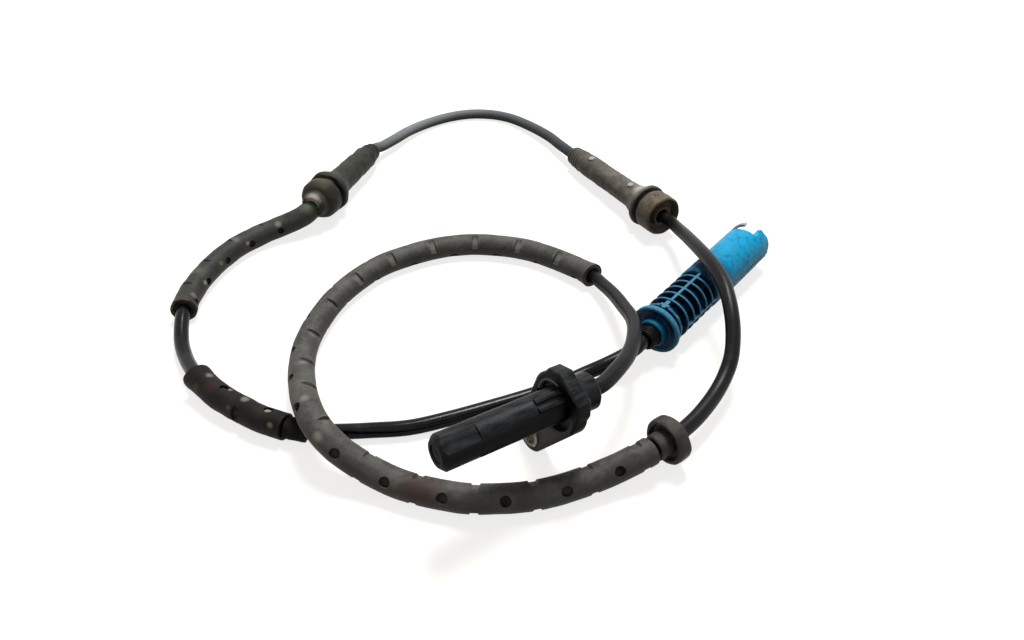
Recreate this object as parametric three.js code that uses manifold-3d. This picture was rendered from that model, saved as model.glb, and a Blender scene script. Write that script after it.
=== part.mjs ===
// Wheel speed sensor with its lead, perforated sleeves, grommets and blue plug, lying on a flat surface.
// Millimetres, +Z up. The origin is on the surface, below the middle of the sensor head, and +X runs
// from the sensor's nose towards its lead.
import * as THREE from 'three';
import { mergeVertices } from 'three/addons/utils/BufferGeometryUtils.js';
import Module from 'manifold-3d';

const wasm = await Module();
wasm.setup();

// Clearances
const seat = 0.3; // between pieces that touch on the real product
const leadPlay = 0.6; // round the lead inside a rubber piece
const bendClearance = 1.8; // between the end of a bent sleeve and the piece next to it

// Lead
const leadDiameter = 5.2;
const leadSides = 8;
const longestStep = 20;
const shortestStep = 8;
const turnPerStep = THREE.MathUtils.degToRad(14);
const coreDiameter = 1.7;
const coreSpacing = 2.3;

// Perforated rubber sleeves
const sleeveDiameter = 9;
const sleeveWall = 1.1;
const sleeveSides = 8;
const sleeveHole = 3.4;
const holeSides = 6;
const sleevePitch = 18.2;
const sleeveRowAngle = THREE.MathUtils.degToRad(50);
const sleeveFirstHole = 8.5;
const sleeveLipDiameter = 10.4;
const sleeveLipWidth = 3;
const innerSleeveDiameter = 7.4;
const innerSleeveLength = 6.5;

// Sensor head
const headLean = THREE.MathUtils.degToRad(25);
const headTilt = THREE.MathUtils.degToRad(5);
const headPlaceX = 10.921;
const headPlaceY = -2.904;
const noseLength = 39;
const noseDiameter = 11;
const noseChamfer = 1.5;
const noseDimple = 5.6;
const noseDimpleDepth = 0.4;
const noseFlatLength = 12;
const noseFlatHeight = 4.8; // from the axis to the large flat
const noseSideHeight = 5.15; // from the axis to the three small flats
const noseTurn = THREE.MathUtils.degToRad(0);
const flangeThickness = 5;
const flangeRadius = 10.2;
const flangeTop = 11.1;
const flangeTopBlunt = 4.8; // the top edge's reach to its blunt corner
const flangeTopSharp = 6.2; // and to its sharp one
const flangeShoulderReach = 8.8;
const flangeShoulderHeight = 7.2;
const flangeRoundHeight = 4.6; // where the round of the flange ends
const flangeEdge = 0.5;
const earReach = 22.5;
const earRadius = 6.3;
const recessDiameter = 16.6;
const recessDepth = 1.8;
const crushRibLength = 9;
const crushRibWidth = 1.5;
const crushRibHeight = 0.7;
const crushRibGap = 1.3;
const bossDiameter = 11.8;
const bossLength = 8.8;
const straightExit = 4.2; // the lead runs straight behind the boss
const bossRound = 0.8;
const bushDiameter = 9.2;
const bushBore = 6.8;
const bushProud = 0.3;

// Inside the head
const chamberWidth = 6;
const chamberHeight = 4.8;
const noseWall = 1.2;
const carrierLength = 30;
const chipLength = 5.4;
const chipWidth = 3.8;
const chipHeight = 1.3;
const magnetLength = 4.6;
const magnetWidth = 3.6;
const magnetHeight = 1.6;
const stripLength = 14;
const stripWidth = 0.9;
const stripHeight = 0.4;
const crimpLength = 4;
const crimpWidth = 1.5;
const crimpHeight = 1.2;

// Plug
const plugLength = 75;
const plugSides = 24;
const skirtDiameter = 17.2;
const skirtWall = 1.4;
const skirtLength = 44;
const socketDepth = 29;
const discDiameter = 19;
const discThickness = 2.2;
const finCount = 6;
const finFirst = 5.2;
const finPitch = 4.5;
const finThickness = 0.9;
const finDiameter = 16.8;
const coreBodyDiameter = 12.4;
const spineWidth = 1.2;
const keyWidth = 3;
const keyLength = 3.4;
const keyHeight = 0.8;
const collarDiameter = 10.4;
const collarLength = 2.6;
const collarBore = 8.8;
const chamberBore = 10;
const chamberStart = 8;
const rimNotchFrom = THREE.MathUtils.degToRad(-62);
const rimNotchTo = THREE.MathUtils.degToRad(27);
const rimNotchDepth = 6.5;
const rimStepTo = THREE.MathUtils.degToRad(50);
const rimStepDepth = 3.2;
const railAngle = THREE.MathUtils.degToRad(103);
const railWidth = 0.8;
const railGap = 1;
const railHeight = 0.5;
const railLength = 33;
const bootDiameter = 8.2;
const bootTail = 7;
const bootRibPitch = 1.6;
const bootGroove = 0.4;
const sealLength = 5;
const insertLength = 30;
const insertWeb = 5;
const bladeWidth = 1.6;
const bladeHeight = 0.8;
const bladeSpacing = 4.4;
const bladeReach = 9;

// Grommets
const clipDiameter = 15.4;
const clipThickness = 5;
const clipHubDiameter = 8.6;
const clipHubLength = 4;
const clipCupDiameter = 12.2;
const clipCupDepth = 1.8;
const clipInset = 9.2; // from the start of the lead's straight stretch to the middle of the disc
const rightLength = 74;
const rightLipDiameter = 19.4;
const rightDrumDiameter = 17.6;
const rightDrumLength = 9;
const rightGroove = 2;
const rightLip = 2.4;
const rightNeckDiameter = 10;
const rightTipDiameter = 8;
const rightTipLength = 14;
const rightCupDiameter = 12;
const rightCupDepth = 2.6;
const leftLength = 53;
const leftLipDiameter = 20;
const leftDrumDiameter = 18.8;
const leftDrumLength = 8;
const leftGroove = 2;
const leftLip = 2.6;
const leftNeckDiameter = 11;
const leftTipDiameter = 8;
const leftHubDiameter = 11;

// Every solid is welded and made of whole triangles before it is joined, cut or shown
function weld(geometry) {
  geometry.deleteAttribute('normal');
  geometry.deleteAttribute('uv');
  const welded = mergeVertices(geometry, 1e-4);
  const index = welded.index.array;
  const kept = [];
  for (let i = 0; i < index.length; i += 3) {
    const [a, b, c] = [index[i], index[i + 1], index[i + 2]];
    if (a !== b && b !== c && c !== a) kept.push(a, b, c);
  }
  return { points: welded.attributes.position.array, faces: kept };
}

function signedVolume({ points, faces }) {
  const [a, b, c] = [new THREE.Vector3(), new THREE.Vector3(), new THREE.Vector3()];
  let sum = 0;
  for (let i = 0; i < faces.length; i += 3) {
    a.fromArray(points, faces[i] * 3);
    b.fromArray(points, faces[i + 1] * 3);
    c.fromArray(points, faces[i + 2] * 3);
    sum += a.dot(b.cross(c));
  }
  return sum;
}

function solid(geometry) {
  const body = weld(geometry);
  if (signedVolume(body) < 0) body.faces.reverse();
  const mesh = new wasm.Mesh({
    numProp: 3,
    vertProperties: new Float32Array(body.points),
    triVerts: new Uint32Array(body.faces),
  });
  return new wasm.Manifold(mesh);
}

function show(name, body, material) {
  const { vertProperties, triVerts } = body.getMesh();
  const geometry = new THREE.BufferGeometry();
  geometry.setAttribute('position', new THREE.BufferAttribute(new Float32Array(vertProperties), 3));
  geometry.setIndex(new THREE.BufferAttribute(new Uint32Array(triVerts), 1));
  geometry.computeVertexNormals();
  const mesh = new THREE.Mesh(geometry, material);
  mesh.name = name;
  return mesh;
}

// Turned pieces: [along the axis, radius] pairs, with the axis along +X
const turnedBasis = new THREE.Matrix4().makeBasis(
  new THREE.Vector3(0, 1, 0), new THREE.Vector3(1, 0, 0), new THREE.Vector3(0, 0, -1));

function turned(profile, sides = 32) {
  const points = profile.map(([x, r]) => new THREE.Vector2(r, x));
  return solid(new THREE.LatheGeometry(points, sides).applyMatrix4(turnedBasis));
}

// A rod or a hole along +X
function rod(from, to, diameter, sides = 32) {
  return turned([[from, 0], [from, diameter / 2], [to, diameter / 2], [to, 0]], sides);
}

function ring(from, to, outer, inner, sides = 32) {
  const [r, b] = [outer / 2, inner / 2];
  return turned([[from, b], [from, r], [to, r], [to, b], [from, b]], sides);
}

// A block from its middle and its three lengths
function block(x, y, z, length, width, height) {
  return solid(new THREE.BoxGeometry(length, width, height).translate(x, y, z));
}

// An outline in the YZ plane, pushed along +X
const plateBasis = new THREE.Matrix4().makeBasis(
  new THREE.Vector3(0, 1, 0), new THREE.Vector3(0, 0, 1), new THREE.Vector3(1, 0, 0));

function plate(shape, depth, edge = 0, curveSegments = 10) {
  const options = { depth: depth - 2 * edge, bevelEnabled: edge > 0, curveSegments };
  if (edge > 0) {
    Object.assign(options, { bevelSize: edge, bevelThickness: edge, bevelOffset: -edge, bevelSegments: 1 });
  }
  return solid(new THREE.ExtrudeGeometry(shape, options).translate(0, 0, edge).applyMatrix4(plateBasis));
}

function about(body, angle) {
  return body.rotate([THREE.MathUtils.radToDeg(angle), 0, 0]);
}

function paint(color, roughness, metalness = 0) {
  return new THREE.MeshStandardMaterial({ color, roughness, metalness });
}

const headPlastic = paint(0x2c2d33, 0.55);
const bushSteel = paint(0xb9b4a6, 0.4, 1);
const chipBlack = paint(0x17181a, 0.5);
const magnetGrey = paint(0x6d7074, 0.35, 1);
const carrierPlastic = paint(0x8b8a80, 0.6);
const brass = paint(0xb89a55, 0.35, 1);
const tinned = paint(0xb9bcc0, 0.35, 1);
const coreBlue = paint(0x2a5d9c, 0.5);
const coreBlack = paint(0x1b1c1e, 0.5);
const leadRubber = paint(0x3f4244, 0.5);
const sleeveRubber = paint(0x5d5b57, 0.85);
const ringRust = paint(0x5a4634, 0.9);
const grommetRubber = paint(0x67625a, 0.85);
const leftRubber = paint(0x4f5249, 0.85);
const plugBlue = paint(0x1f97cd, 0.45);
const bootBlack = paint(0x141518, 0.55);
const insertPlastic = paint(0x20242a, 0.5);
const sealOrange = paint(0x9a5a2c, 0.6);

const part = new THREE.Group();

// Sensor head, in its own frame: nose towards -X, front face of the flange at x = 0, ear towards -Z
const head = new THREE.Group();
const headTurned = new THREE.Group();
head.add(headTurned);
head.rotation.y = headTilt;
headTurned.rotation.x = headLean;

function flangeOutline() {
  const shape = new THREE.Shape();
  // Where the straight sides leave each round
  const spread = Math.acos((flangeRadius - earRadius) / earReach);
  const shoulder = Math.asin(flangeRoundHeight / flangeRadius);
  const down = -Math.PI / 2;
  shape.absarc(0, -earReach, earRadius, down - spread, down + spread, false);
  shape.absarc(0, 0, flangeRadius, down + spread, shoulder, false);
  shape.lineTo(flangeShoulderReach, flangeShoulderHeight);
  shape.lineTo(flangeTopBlunt, flangeTop);
  shape.lineTo(-flangeTopSharp, flangeTop);
  shape.lineTo(-flangeShoulderReach, flangeShoulderHeight);
  shape.absarc(0, 0, flangeRadius, Math.PI - shoulder, Math.PI * 1.5 - spread, false);
  shape.closePath();
  return shape;
}

const noseRadius = noseDiameter / 2;
const bossRadius = bossDiameter / 2;
const headEnd = flangeThickness + bossLength;

let housing = turned([
  [-noseLength + noseDimpleDepth, 0],
  [-noseLength + noseDimpleDepth, noseDimple / 2],
  [-noseLength, noseDimple / 2],
  [-noseLength, noseRadius - noseChamfer],
  [-noseLength + noseChamfer, noseRadius],
  [1, noseRadius],
  [1, 0],
], 32);
for (let side = 0; side < 4; side += 1) {
  const height = side === 0 ? noseFlatHeight : noseSideHeight;
  const cut = block(-noseLength, 0, height + 2, noseFlatLength * 2, noseDiameter + 2, 4);
  housing = housing.subtract(about(cut, -noseTurn - side * Math.PI / 2));
}
let flange = plate(flangeOutline(), flangeThickness, flangeEdge);
flange = flange.subtract(ring(-1, recessDepth, recessDiameter, noseDiameter, 32));
const boss = turned([
  [flangeThickness - 1, 0],
  [flangeThickness - 1, bossRadius],
  [headEnd - bossRound, bossRadius],
  [headEnd, bossRadius - bossRound],
  [headEnd, 0],
], 32);
housing = housing.add(flange).add(rod(0, recessDepth + 1, noseDiameter, 32)).add(boss);
for (const side of [-1, 1]) {
  const y = side * (crushRibGap + crushRibWidth) / 2;
  const top = noseRadius + crushRibHeight;
  const rib = block(recessDepth - crushRibLength / 2, y, top / 2 + 1, crushRibLength + recessDepth,
    crushRibWidth, top - 2);
  housing = housing.add(rib);
}

// The chamber follows the large flat of the nose, and the lead enters through the boss
const chamberEnd = 2;
const chamberFront = -noseLength + noseWall;
const entryDiameter = leadDiameter + 2 * leadPlay;
const chamber = about(block((chamberFront + chamberEnd) / 2, 0, 0, chamberEnd - chamberFront, chamberWidth,
  chamberHeight), -noseTurn);
housing = housing.subtract(chamber);
housing = housing.subtract(rod(chamberEnd - 0.5, headEnd + 1, entryDiameter, 24));
const boltBore = rod(-1, flangeThickness + 1, bushDiameter + 2 * seat, 24).translate([0, 0, -earReach]);
housing = housing.subtract(boltBore);
headTurned.add(show('sensor_housing', housing, headPlastic));

const bush = ring(-bushProud, flangeThickness + bushProud, bushDiameter, bushBore, 24);
headTurned.add(show('bolt_bush', bush.translate([0, 0, -earReach]), bushSteel));

// Chip, magnet, strips, crimps and cores ride on one carrier, level with the nose's large flat
const core = new THREE.Group();
core.rotation.x = -noseTurn;
headTurned.add(core);
const carrierFront = chamberFront + seat;
const carrierWidth = chamberWidth - 2 * seat;
const carrierHeight = chamberHeight - 2 * seat;
const carrierTop = carrierHeight / 2;
const chipX = carrierFront + 1 + seat + chipLength / 2;
const magnetX = carrierFront + 1 + seat + magnetLength / 2;
const stripFront = chipX + chipLength / 2 + seat;
const crimpFront = stripFront + stripLength + seat;
const crimpEnd = crimpFront + crimpLength;
let carrier = block(carrierFront + carrierLength / 2, 0, 0, carrierLength, carrierWidth, carrierHeight);
const chipPocket = chipHeight + seat;
carrier = carrier.subtract(block(chipX, 0, carrierTop, chipLength + 2 * seat, chipWidth + 2 * seat,
  2 * chipPocket));
carrier = carrier.subtract(block(magnetX, 0, -carrierTop, magnetLength + 2 * seat, magnetWidth + 2 * seat,
  2 * (magnetHeight + 0.2)));
for (const side of [-1, 1]) {
  const y = side * coreSpacing / 2;
  const grooveEnd = carrierFront + carrierLength + 1;
  const stripGroove = block((stripFront + grooveEnd) / 2 - 0.5, y, carrierTop, grooveEnd - stripFront + 2,
    crimpWidth + 0.5, 2 * (crimpHeight + seat));
  carrier = carrier.subtract(stripGroove);
}
core.add(show('chip_carrier', carrier, carrierPlastic));
const chipZ = carrierTop - chipPocket + seat + chipHeight / 2 - 0.1;
core.add(show('sensor_chip', block(chipX, 0, chipZ, chipLength, chipWidth, chipHeight), chipBlack));
const magnetZ = -carrierTop + magnetHeight / 2 - 0.1;
core.add(show('bias_magnet', block(magnetX, 0, magnetZ, magnetLength, magnetWidth, magnetHeight),
  magnetGrey));
const grooveFloor = carrierTop - crimpHeight - seat;
const leadStart = chamberEnd + 1;
for (const [side, tag, coreColor] of [[-1, 'a', coreBlue], [1, 'b', coreBlack]]) {
  const y = side * coreSpacing / 2;
  const stripZ = grooveFloor + seat + stripHeight / 2;
  core.add(show('lead_strip_' + tag, block(stripFront + stripLength / 2, y, stripZ, stripLength, stripWidth,
    stripHeight), tinned));
  const crimpZ = grooveFloor + seat + crimpHeight / 2;
  core.add(show('wire_crimp_' + tag, block((crimpFront + crimpEnd) / 2, y, crimpZ, crimpLength, crimpWidth,
    crimpHeight), brass));
  const wire = rod(crimpEnd + seat, leadStart - seat, coreDiameter * 0.8, 10);
  core.add(show('head_core_' + tag, wire.translate([0, side * coreSpacing / 2, crimpZ]), coreColor));
}

head.updateMatrixWorld(true);
const headBox = new THREE.Box3().setFromObject(head, true);
const headMiddle = headBox.getCenter(new THREE.Vector3());
head.position.set(headPlaceX, headPlaceY, -headBox.min.z);
head.updateMatrixWorld(true);
part.add(head);

// Route of the lead, from the head to the plug, as points chosen by hand
const onHead = (x) => headTurned.localToWorld(new THREE.Vector3(x, 0, 0));
const headRun = [
  onHead(leadStart), onHead(leadStart + 8), onHead(headEnd + straightExit),
  [38, 0.5, 24.4], [46.5, 5.2, 22.6], [55.5, 12.5, 20.2], [64, 22.5, 16.8], [70, 34.5, 12.6], [75, 46.5, 8.8],
  [77.5, 55.5, 6.4],
];
const longRun = [
  [78.5, 63, 5.4], [75.7, 75, 4.8], [68, 92, 4.7], [59.3, 102, 4.7], [49, 110, 4.7], [37, 115, 4.7],
  [24, 117, 4.7], [10, 116.7, 4.7], [-5, 111.6, 4.7], [-16, 105, 4.7], [-26, 96, 4.8],
  [-33.5, 87, 5], [-39, 76.5, 6.2],
  [-43, 64.5, 9.2], [-46.2, 50.5, 13.2], [-47, 40, 13.6], [-44.8, 31, 10.8], [-41, 24.7, 7.4],
  [-36, 16.8, 5.2], [-31.2, 9.9, 4.7], [-25, 2.8, 4.7], [-18.4, -3.3, 4.7], [-11, -8.1, 4.7],
  [-3.2, -12.2, 4.7], [5.5, -15.1, 4.7], [15.2, -17.3, 5], [25.5, -19.2, 6.2],
];
const clipFront = new THREE.Vector3(34, -20.6, 8.1);
const clipBack = new THREE.Vector3(47, -20.2, 8.1);
const archRun = [
  [55, -18.8, 8.1], [62, -16.9, 8.4], [69.6, -14.2, 9],
  [76.3, -11.2, 10.6], [81.7, -8, 13.4], [86.5, -3.4, 17], [90.3, 1.6, 20.4], [94.5, 8, 23],
  [99, 15.5, 24.2], [104, 26, 23.8], [109, 36.5, 21.6], [115.5, 49, 17.8], [121.5, 60.5, 13.8],
];
const rightFace = new THREE.Vector3(126, 74, 11);
const rightAim = new THREE.Vector3(133, 149.3, 6.6);
const topRun = [
  [134.8, 162, 5.6], [136.6, 175, 4.8], [136.3, 193, 3.8], [133.4, 209, 3], [127, 219, 2.8],
  [117.7, 225.5, 2.8], [106.3, 228.5, 2.8], [93.2, 228, 3], [78.4, 223.3, 4], [65.5, 216, 5.2], [56, 211, 6],
];
const leftTip = new THREE.Vector3(48.6, 206, 7.8);
const leftAim = new THREE.Vector3(9.4, 172, 11.2);
const leftRun = [
  [-3, 165.3, 8.6], [-10.3, 166, 6.6], [-18, 166.6, 5.4], [-24, 166.1, 5], [-34.3, 163, 4.9],
  [-42.5, 158.3, 4.9], [-50, 152.3, 4.9], [-57.5, 144.3, 4.9], [-62.5, 137, 5.1], [-66.3, 128.5, 5.6],
];
const bareRun = [[-69, 121.8, 4.4], [-71, 114.5, 3.2], [-71.8, 106.2, 3.2], [-71.7, 98, 4.4]];
const lowRun = [
  [-71, 90.7, 5.6], [-68.5, 81, 5.1], [-65.4, 73, 4.9], [-62.3, 66.7, 4.9], [-59.3, 61, 4.8],
  [-55.8, 56.2, 4.7], [-52.6, 52, 4.6],
];
const underRun = [
  [-47, 47.4, 3.7], [-41, 44.2, 3], [-31, 38.6, 2.8], [-20, 32.8, 2.8], [-7, 29, 2.8], [10, 25.3, 2.8],
  [21, 23.2, 2.8], [32, 21.4, 3.2], [42.3, 20, 4.6], [50, 18, 6.6], [57.5, 16.8, 8.4],
];
const plugStart = new THREE.Vector3(72.8, 20, 9.7);
const plugHeading = THREE.MathUtils.degToRad(16.6);

function between(from, to, distance) {
  return from.clone().lerp(to, distance / from.distanceTo(to));
}
const plugAxis = new THREE.Vector3(Math.cos(plugHeading), Math.sin(plugHeading), 0);
const onPlug = (x) => plugStart.clone().addScaledVector(plugAxis, x);
const onRight = (x) => between(rightFace, rightAim, x);
const onLeft = (x) => between(leftTip, leftAim, x);
const leadEnd = chamberStart - seat - 2;
const route = [
  ...headRun, ...longRun,
  clipFront, between(clipFront, clipBack, 4), between(clipFront, clipBack, 9), clipBack,
  ...archRun,
  onRight(-5), onRight(3), onRight(rightLength / 3), onRight(rightLength * 0.7), onRight(rightLength - 6),
  onRight(rightLength + 3),
  ...topRun,
  onLeft(-3), onLeft(6), onLeft(leftLength / 2), onLeft(leftLength - 8), onLeft(leftLength + 1),
  ...leftRun, ...bareRun, ...lowRun, ...underRun,
  onPlug(-bootTail - 5), onPlug(-bootTail - 2), onPlug(-bootTail + 3), onPlug(leadEnd - 3), onPlug(leadEnd),
].map((p) => (Array.isArray(p) ? new THREE.Vector3(...p) : p));

// The lead is stepped along its curve, with shorter steps where it bends, and with a step at each end
// of the straight pieces that it passes through
const curve = new THREE.CatmullRomCurve3(route, false, 'centripetal');
curve.arcLengthDivisions = 4000;
const stops = [onHead(headEnd + 1), clipFront, clipBack, onRight(0), onRight(rightLength), onLeft(0),
  onLeft(leftLength + bendClearance), onPlug(-bootTail - 1)];
const stations = [curve.getPointAt(0)];
{
  const length = curve.getLength();
  let at = 0;
  let heading = curve.getTangentAt(0);
  for (let s = 1; s < length - 1; s += 1) {
    const here = curve.getPointAt(s / length);
    const tangent = curve.getTangentAt(s / length);
    const before = curve.getPointAt((s - 1) / length);
    const after = curve.getPointAt((s + 1) / length);
    const stop = stops.some((p) => {
      const away = p.distanceTo(here);
      return away < 3 && away < p.distanceTo(before) && away < p.distanceTo(after);
    });
    const bent = heading.angleTo(tangent) > turnPerStep && s - at >= shortestStep;
    if (stop || bent || s - at >= longestStep) {
      stations.push(here);
      at = s;
      heading = tangent;
    }
  }
  stations.push(curve.getPointAt(1));
}
const stationAt = [0];
for (let i = 1; i < stations.length; i += 1) {
  stationAt.push(stationAt[i - 1] + stations[i].distanceTo(stations[i - 1]));
}

// A stretch of the lead between two distances from the head, stepped at the same stations
class Stretch extends THREE.Curve {
  constructor(from, to) {
    super();
    const inner = stations.filter((_, i) => stationAt[i] > from + 1 && stationAt[i] < to - 1);
    this.points = [Stretch.place(from), ...inner, Stretch.place(to)];
  }

  static place(distance) {
    let i = 0;
    while (i < stationAt.length - 2 && stationAt[i + 1] < distance) i += 1;
    const share = (distance - stationAt[i]) / (stationAt[i + 1] - stationAt[i]);
    return stations[i].clone().lerp(stations[i + 1], share);
  }

  get steps() {
    return this.points.length - 1;
  }

  getPoint(t, target = new THREE.Vector3()) {
    const i = Math.min(Math.floor(t * this.steps + 1e-6), this.steps - 1);
    return target.lerpVectors(this.points[i], this.points[i + 1], t * this.steps - i);
  }

  getPointAt(t, target) {
    return this.getPoint(t, target);
  }

  // The section stays level: it is drawn from straight up towards the right of the way ahead
  computeFrenetFrames() {
    const frames = { tangents: [], normals: [], binormals: [] };
    for (let i = 0; i <= this.steps; i += 1) {
      const ahead = this.points[Math.min(i + 1, this.steps)].clone();
      const frame = levelFrame(ahead.sub(this.points[Math.max(i - 1, 0)]));
      frames.tangents.push(frame.ahead);
      frames.normals.push(frame.up);
      frames.binormals.push(frame.right);
    }
    return frames;
  }
}

function levelFrame(direction) {
  const ahead = direction.clone().normalize();
  const right = ahead.clone().cross(new THREE.Vector3(0, 0, 1)).normalize();
  return { ahead, right, up: right.clone().cross(ahead) };
}

function nearest(point) {
  const wanted = point instanceof THREE.Vector3 ? point : new THREE.Vector3(...point);
  let best = 0;
  for (let s = 0; s <= stationAt.at(-1); s += 0.5) {
    if (Stretch.place(s).distanceTo(wanted) < Stretch.place(best).distanceTo(wanted)) best = s;
  }
  return best;
}

function circle(radius, sides) {
  const points = [];
  for (let i = 0; i < sides; i += 1) {
    const angle = sleeveRowAngle + (i + 0.5) * 2 * Math.PI / sides;
    points.push(new THREE.Vector2(radius * Math.cos(angle), radius * Math.sin(angle)));
  }
  return points;
}

function hose(from, to, outer, inner, sides) {
  const shape = new THREE.Shape(circle(outer / 2, sides));
  if (inner > 0) shape.holes.push(new THREE.Path(circle(inner / 2, sides)));
  const extrudePath = new Stretch(from, to);
  return solid(new THREE.ExtrudeGeometry(shape, { extrudePath, steps: extrudePath.steps }));
}

part.add(show('lead_cable', hose(0, stationAt.at(-1), leadDiameter, 0, leadSides), leadRubber));

// Rows of round holes, a quarter turn apart, each row half a pitch on from its neighbours
function perforate(body, from, to, first, rows) {
  let result = body;
  const reach = sleeveDiameter / 2 + 1;
  for (const row of rows) {
    const offset = first + (row % 2) * sleevePitch / 2;
    for (let s = from + offset; s < to - sleeveHole; s += sleevePitch) {
      const middle = Stretch.place(s);
      const { up, right } = levelFrame(Stretch.place(s + 1).sub(Stretch.place(s - 1)));
      const angle = sleeveRowAngle + row * Math.PI / 2;
      const out = up.multiplyScalar(Math.cos(angle)).addScaledVector(right, Math.sin(angle));
      const hole = new THREE.CylinderGeometry(sleeveHole / 2, sleeveHole / 2, reach, holeSides);
      hole.translate(0, reach / 2, 0);
      hole.applyQuaternion(new THREE.Quaternion().setFromUnitVectors(new THREE.Vector3(0, 1, 0), out));
      hole.translate(middle.x, middle.y, middle.z);
      result = result.subtract(solid(hole));
    }
  }
  return result;
}

// A sleeve is a hose with rows of holes and a thicker lip at each open end
const sleeveBore = sleeveDiameter - 2 * sleeveWall;
function sleeve(name, from, to, rows, lips) {
  let body = hose(from, to, sleeveDiameter, sleeveBore, sleeveSides);
  const lipBore = sleeveDiameter - sleeveWall;
  for (const end of lips) {
    const start = end === from ? from : to - sleeveLipWidth;
    body = body.add(hose(start, start + sleeveLipWidth, sleeveLipDiameter, lipBore, sleeveSides));
  }
  part.add(show(name, perforate(body, from, to, sleeveFirstHole, rows), sleeveRubber));
}
const longFrom = nearest(longRun[0]);
const clipAt = nearest(clipFront) + clipInset;
const longTo = clipAt - clipThickness / 2 - clipHubLength - seat;
sleeve('long_sleeve', longFrom, longTo, [0, 1, 2, 3], [longFrom]);

const leftFrom = nearest(onLeft(leftLength)) + bendClearance;
const leftTo = nearest(leftRun.at(-1));
sleeve('left_sleeve', leftFrom, leftTo, [0, 3], [leftTo]);

const lowFrom = nearest(lowRun[0]);
const lowTo = nearest(lowRun.at(-1));
sleeve('low_sleeve', lowFrom, lowTo, [0, 3], [lowFrom]);
const innerFrom = lowTo + bendClearance;
const innerBore = leadDiameter + 2 * leadPlay;
part.add(show('inner_sleeve', hose(innerFrom, innerFrom + innerSleeveLength, innerSleeveDiameter, innerBore,
  sleeveSides), ringRust));

// Pieces on straight stretches of the lead, each turned about its own axis and set along it
function setAlong(mesh, origin, direction) {
  mesh.position.copy(origin);
  mesh.quaternion.setFromUnitVectors(new THREE.Vector3(1, 0, 0), direction);
  part.add(mesh);
}
const leadBore = leadDiameter + 2 * leadPlay;

const clipHalf = clipThickness / 2;
const clipCup = clipCupDiameter / 2;
const clipHub = clipHubDiameter / 2;
const clip = turned([
  [-clipHalf - clipHubLength, leadBore / 2],
  [-clipHalf - clipHubLength, clipHub - 0.4],
  [-clipHalf + clipCupDepth, clipHub],
  [-clipHalf + clipCupDepth, clipCup],
  [-clipHalf, clipCup],
  [-clipHalf, clipDiameter / 2 - 0.8],
  [-clipHalf + 0.8, clipDiameter / 2],
  [clipHalf - 0.8, clipDiameter / 2],
  [clipHalf, clipDiameter / 2 - 0.8],
  [clipHalf, leadBore / 2],
  [-clipHalf - clipHubLength, leadBore / 2],
], 20);
const clipMiddle = Stretch.place(clipAt);
const clipAhead = Stretch.place(clipAt + 2).sub(Stretch.place(clipAt - 2)).normalize();
setAlong(show('clip_grommet', clip, grommetRubber), clipMiddle, clipAhead);

const rightDrum = rightDrumDiameter / 2;
const rightNeck = rightNeckDiameter / 2;
const rightLipFrom = rightDrumLength + rightGroove;
const rightLipTo = rightLipFrom + rightLip;
const rightGrommet = turned([
  [rightCupDepth, leadBore / 2],
  [rightCupDepth - 1, leadBore / 2 + 1],
  [rightCupDepth, leadBore / 2 + 1.6],
  [rightCupDepth, rightCupDiameter / 2],
  [0, rightCupDiameter / 2 + 0.6],
  [0, rightDrum - 0.7],
  [0.7, rightDrum],
  [rightDrumLength, rightDrum],
  [rightDrumLength, rightDrum - 1.6],
  [rightLipFrom, rightDrum - 1.6],
  [rightLipFrom, rightLipDiameter / 2 - 0.3],
  [rightLipFrom + rightLip / 2, rightLipDiameter / 2],
  [rightLipTo, rightLipDiameter / 2 - 0.5],
  [rightLipTo + 2, rightLipDiameter / 2 - 1.8],
  [rightLipTo + 7, rightNeck + 0.9],
  [rightLipTo + 12, rightNeck],
  [rightLength - rightTipLength, rightNeck - 0.1],
  [rightLength - 4, rightTipDiameter / 2 + 0.3],
  [rightLength, rightTipDiameter / 2],
  [rightLength, leadBore / 2],
  [rightCupDepth, leadBore / 2],
], 20);
const rightWay = rightAim.clone().sub(rightFace).normalize();
setAlong(show('right_grommet', rightGrommet, grommetRubber), rightFace, rightWay);

const leftNeck = leftNeckDiameter / 2;
const leftDrumTo = leftLength - 4;
const leftDrumFrom = leftDrumTo - leftDrumLength;
const leftLipTo = leftDrumFrom - leftGroove;
const leftLipFrom = leftLipTo - leftLip;
const leftGrommet = turned([
  [0, leadBore / 2],
  [0, leftTipDiameter / 2],
  [3, leftTipDiameter / 2 + 0.2],
  [10, leftNeck],
  [leftLipFrom - 10, leftNeck + 0.2],
  [leftLipFrom - 4, leftNeck + 1.2],
  [leftLipFrom, leftLipDiameter / 2 - 0.6],
  [leftLipFrom + leftLip / 2, leftLipDiameter / 2],
  [leftLipTo, leftLipDiameter / 2 - 0.3],
  [leftLipTo, leftDrumDiameter / 2 - 1.8],
  [leftDrumFrom, leftDrumDiameter / 2 - 1.8],
  [leftDrumFrom, leftDrumDiameter / 2],
  [leftDrumTo - 1.5, leftDrumDiameter / 2 - 0.2],
  [leftDrumTo, leftDrumDiameter / 2 - 1.6],
  [leftDrumTo + 1.2, leftHubDiameter / 2 + 0.4],
  [leftLength, leftHubDiameter / 2],
  [leftLength, leadBore / 2],
  [0, leadBore / 2],
], 20);
const leftWay = leftAim.clone().sub(leftTip).normalize();
setAlong(show('left_grommet', leftGrommet, leftRubber), leftTip, leftWay);

// Plug, in its own frame: rear disc at x = 0, open rim towards +X
const plug = new THREE.Group();
plug.position.copy(plugStart);
plug.rotation.z = plugHeading;
part.add(plug);

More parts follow.
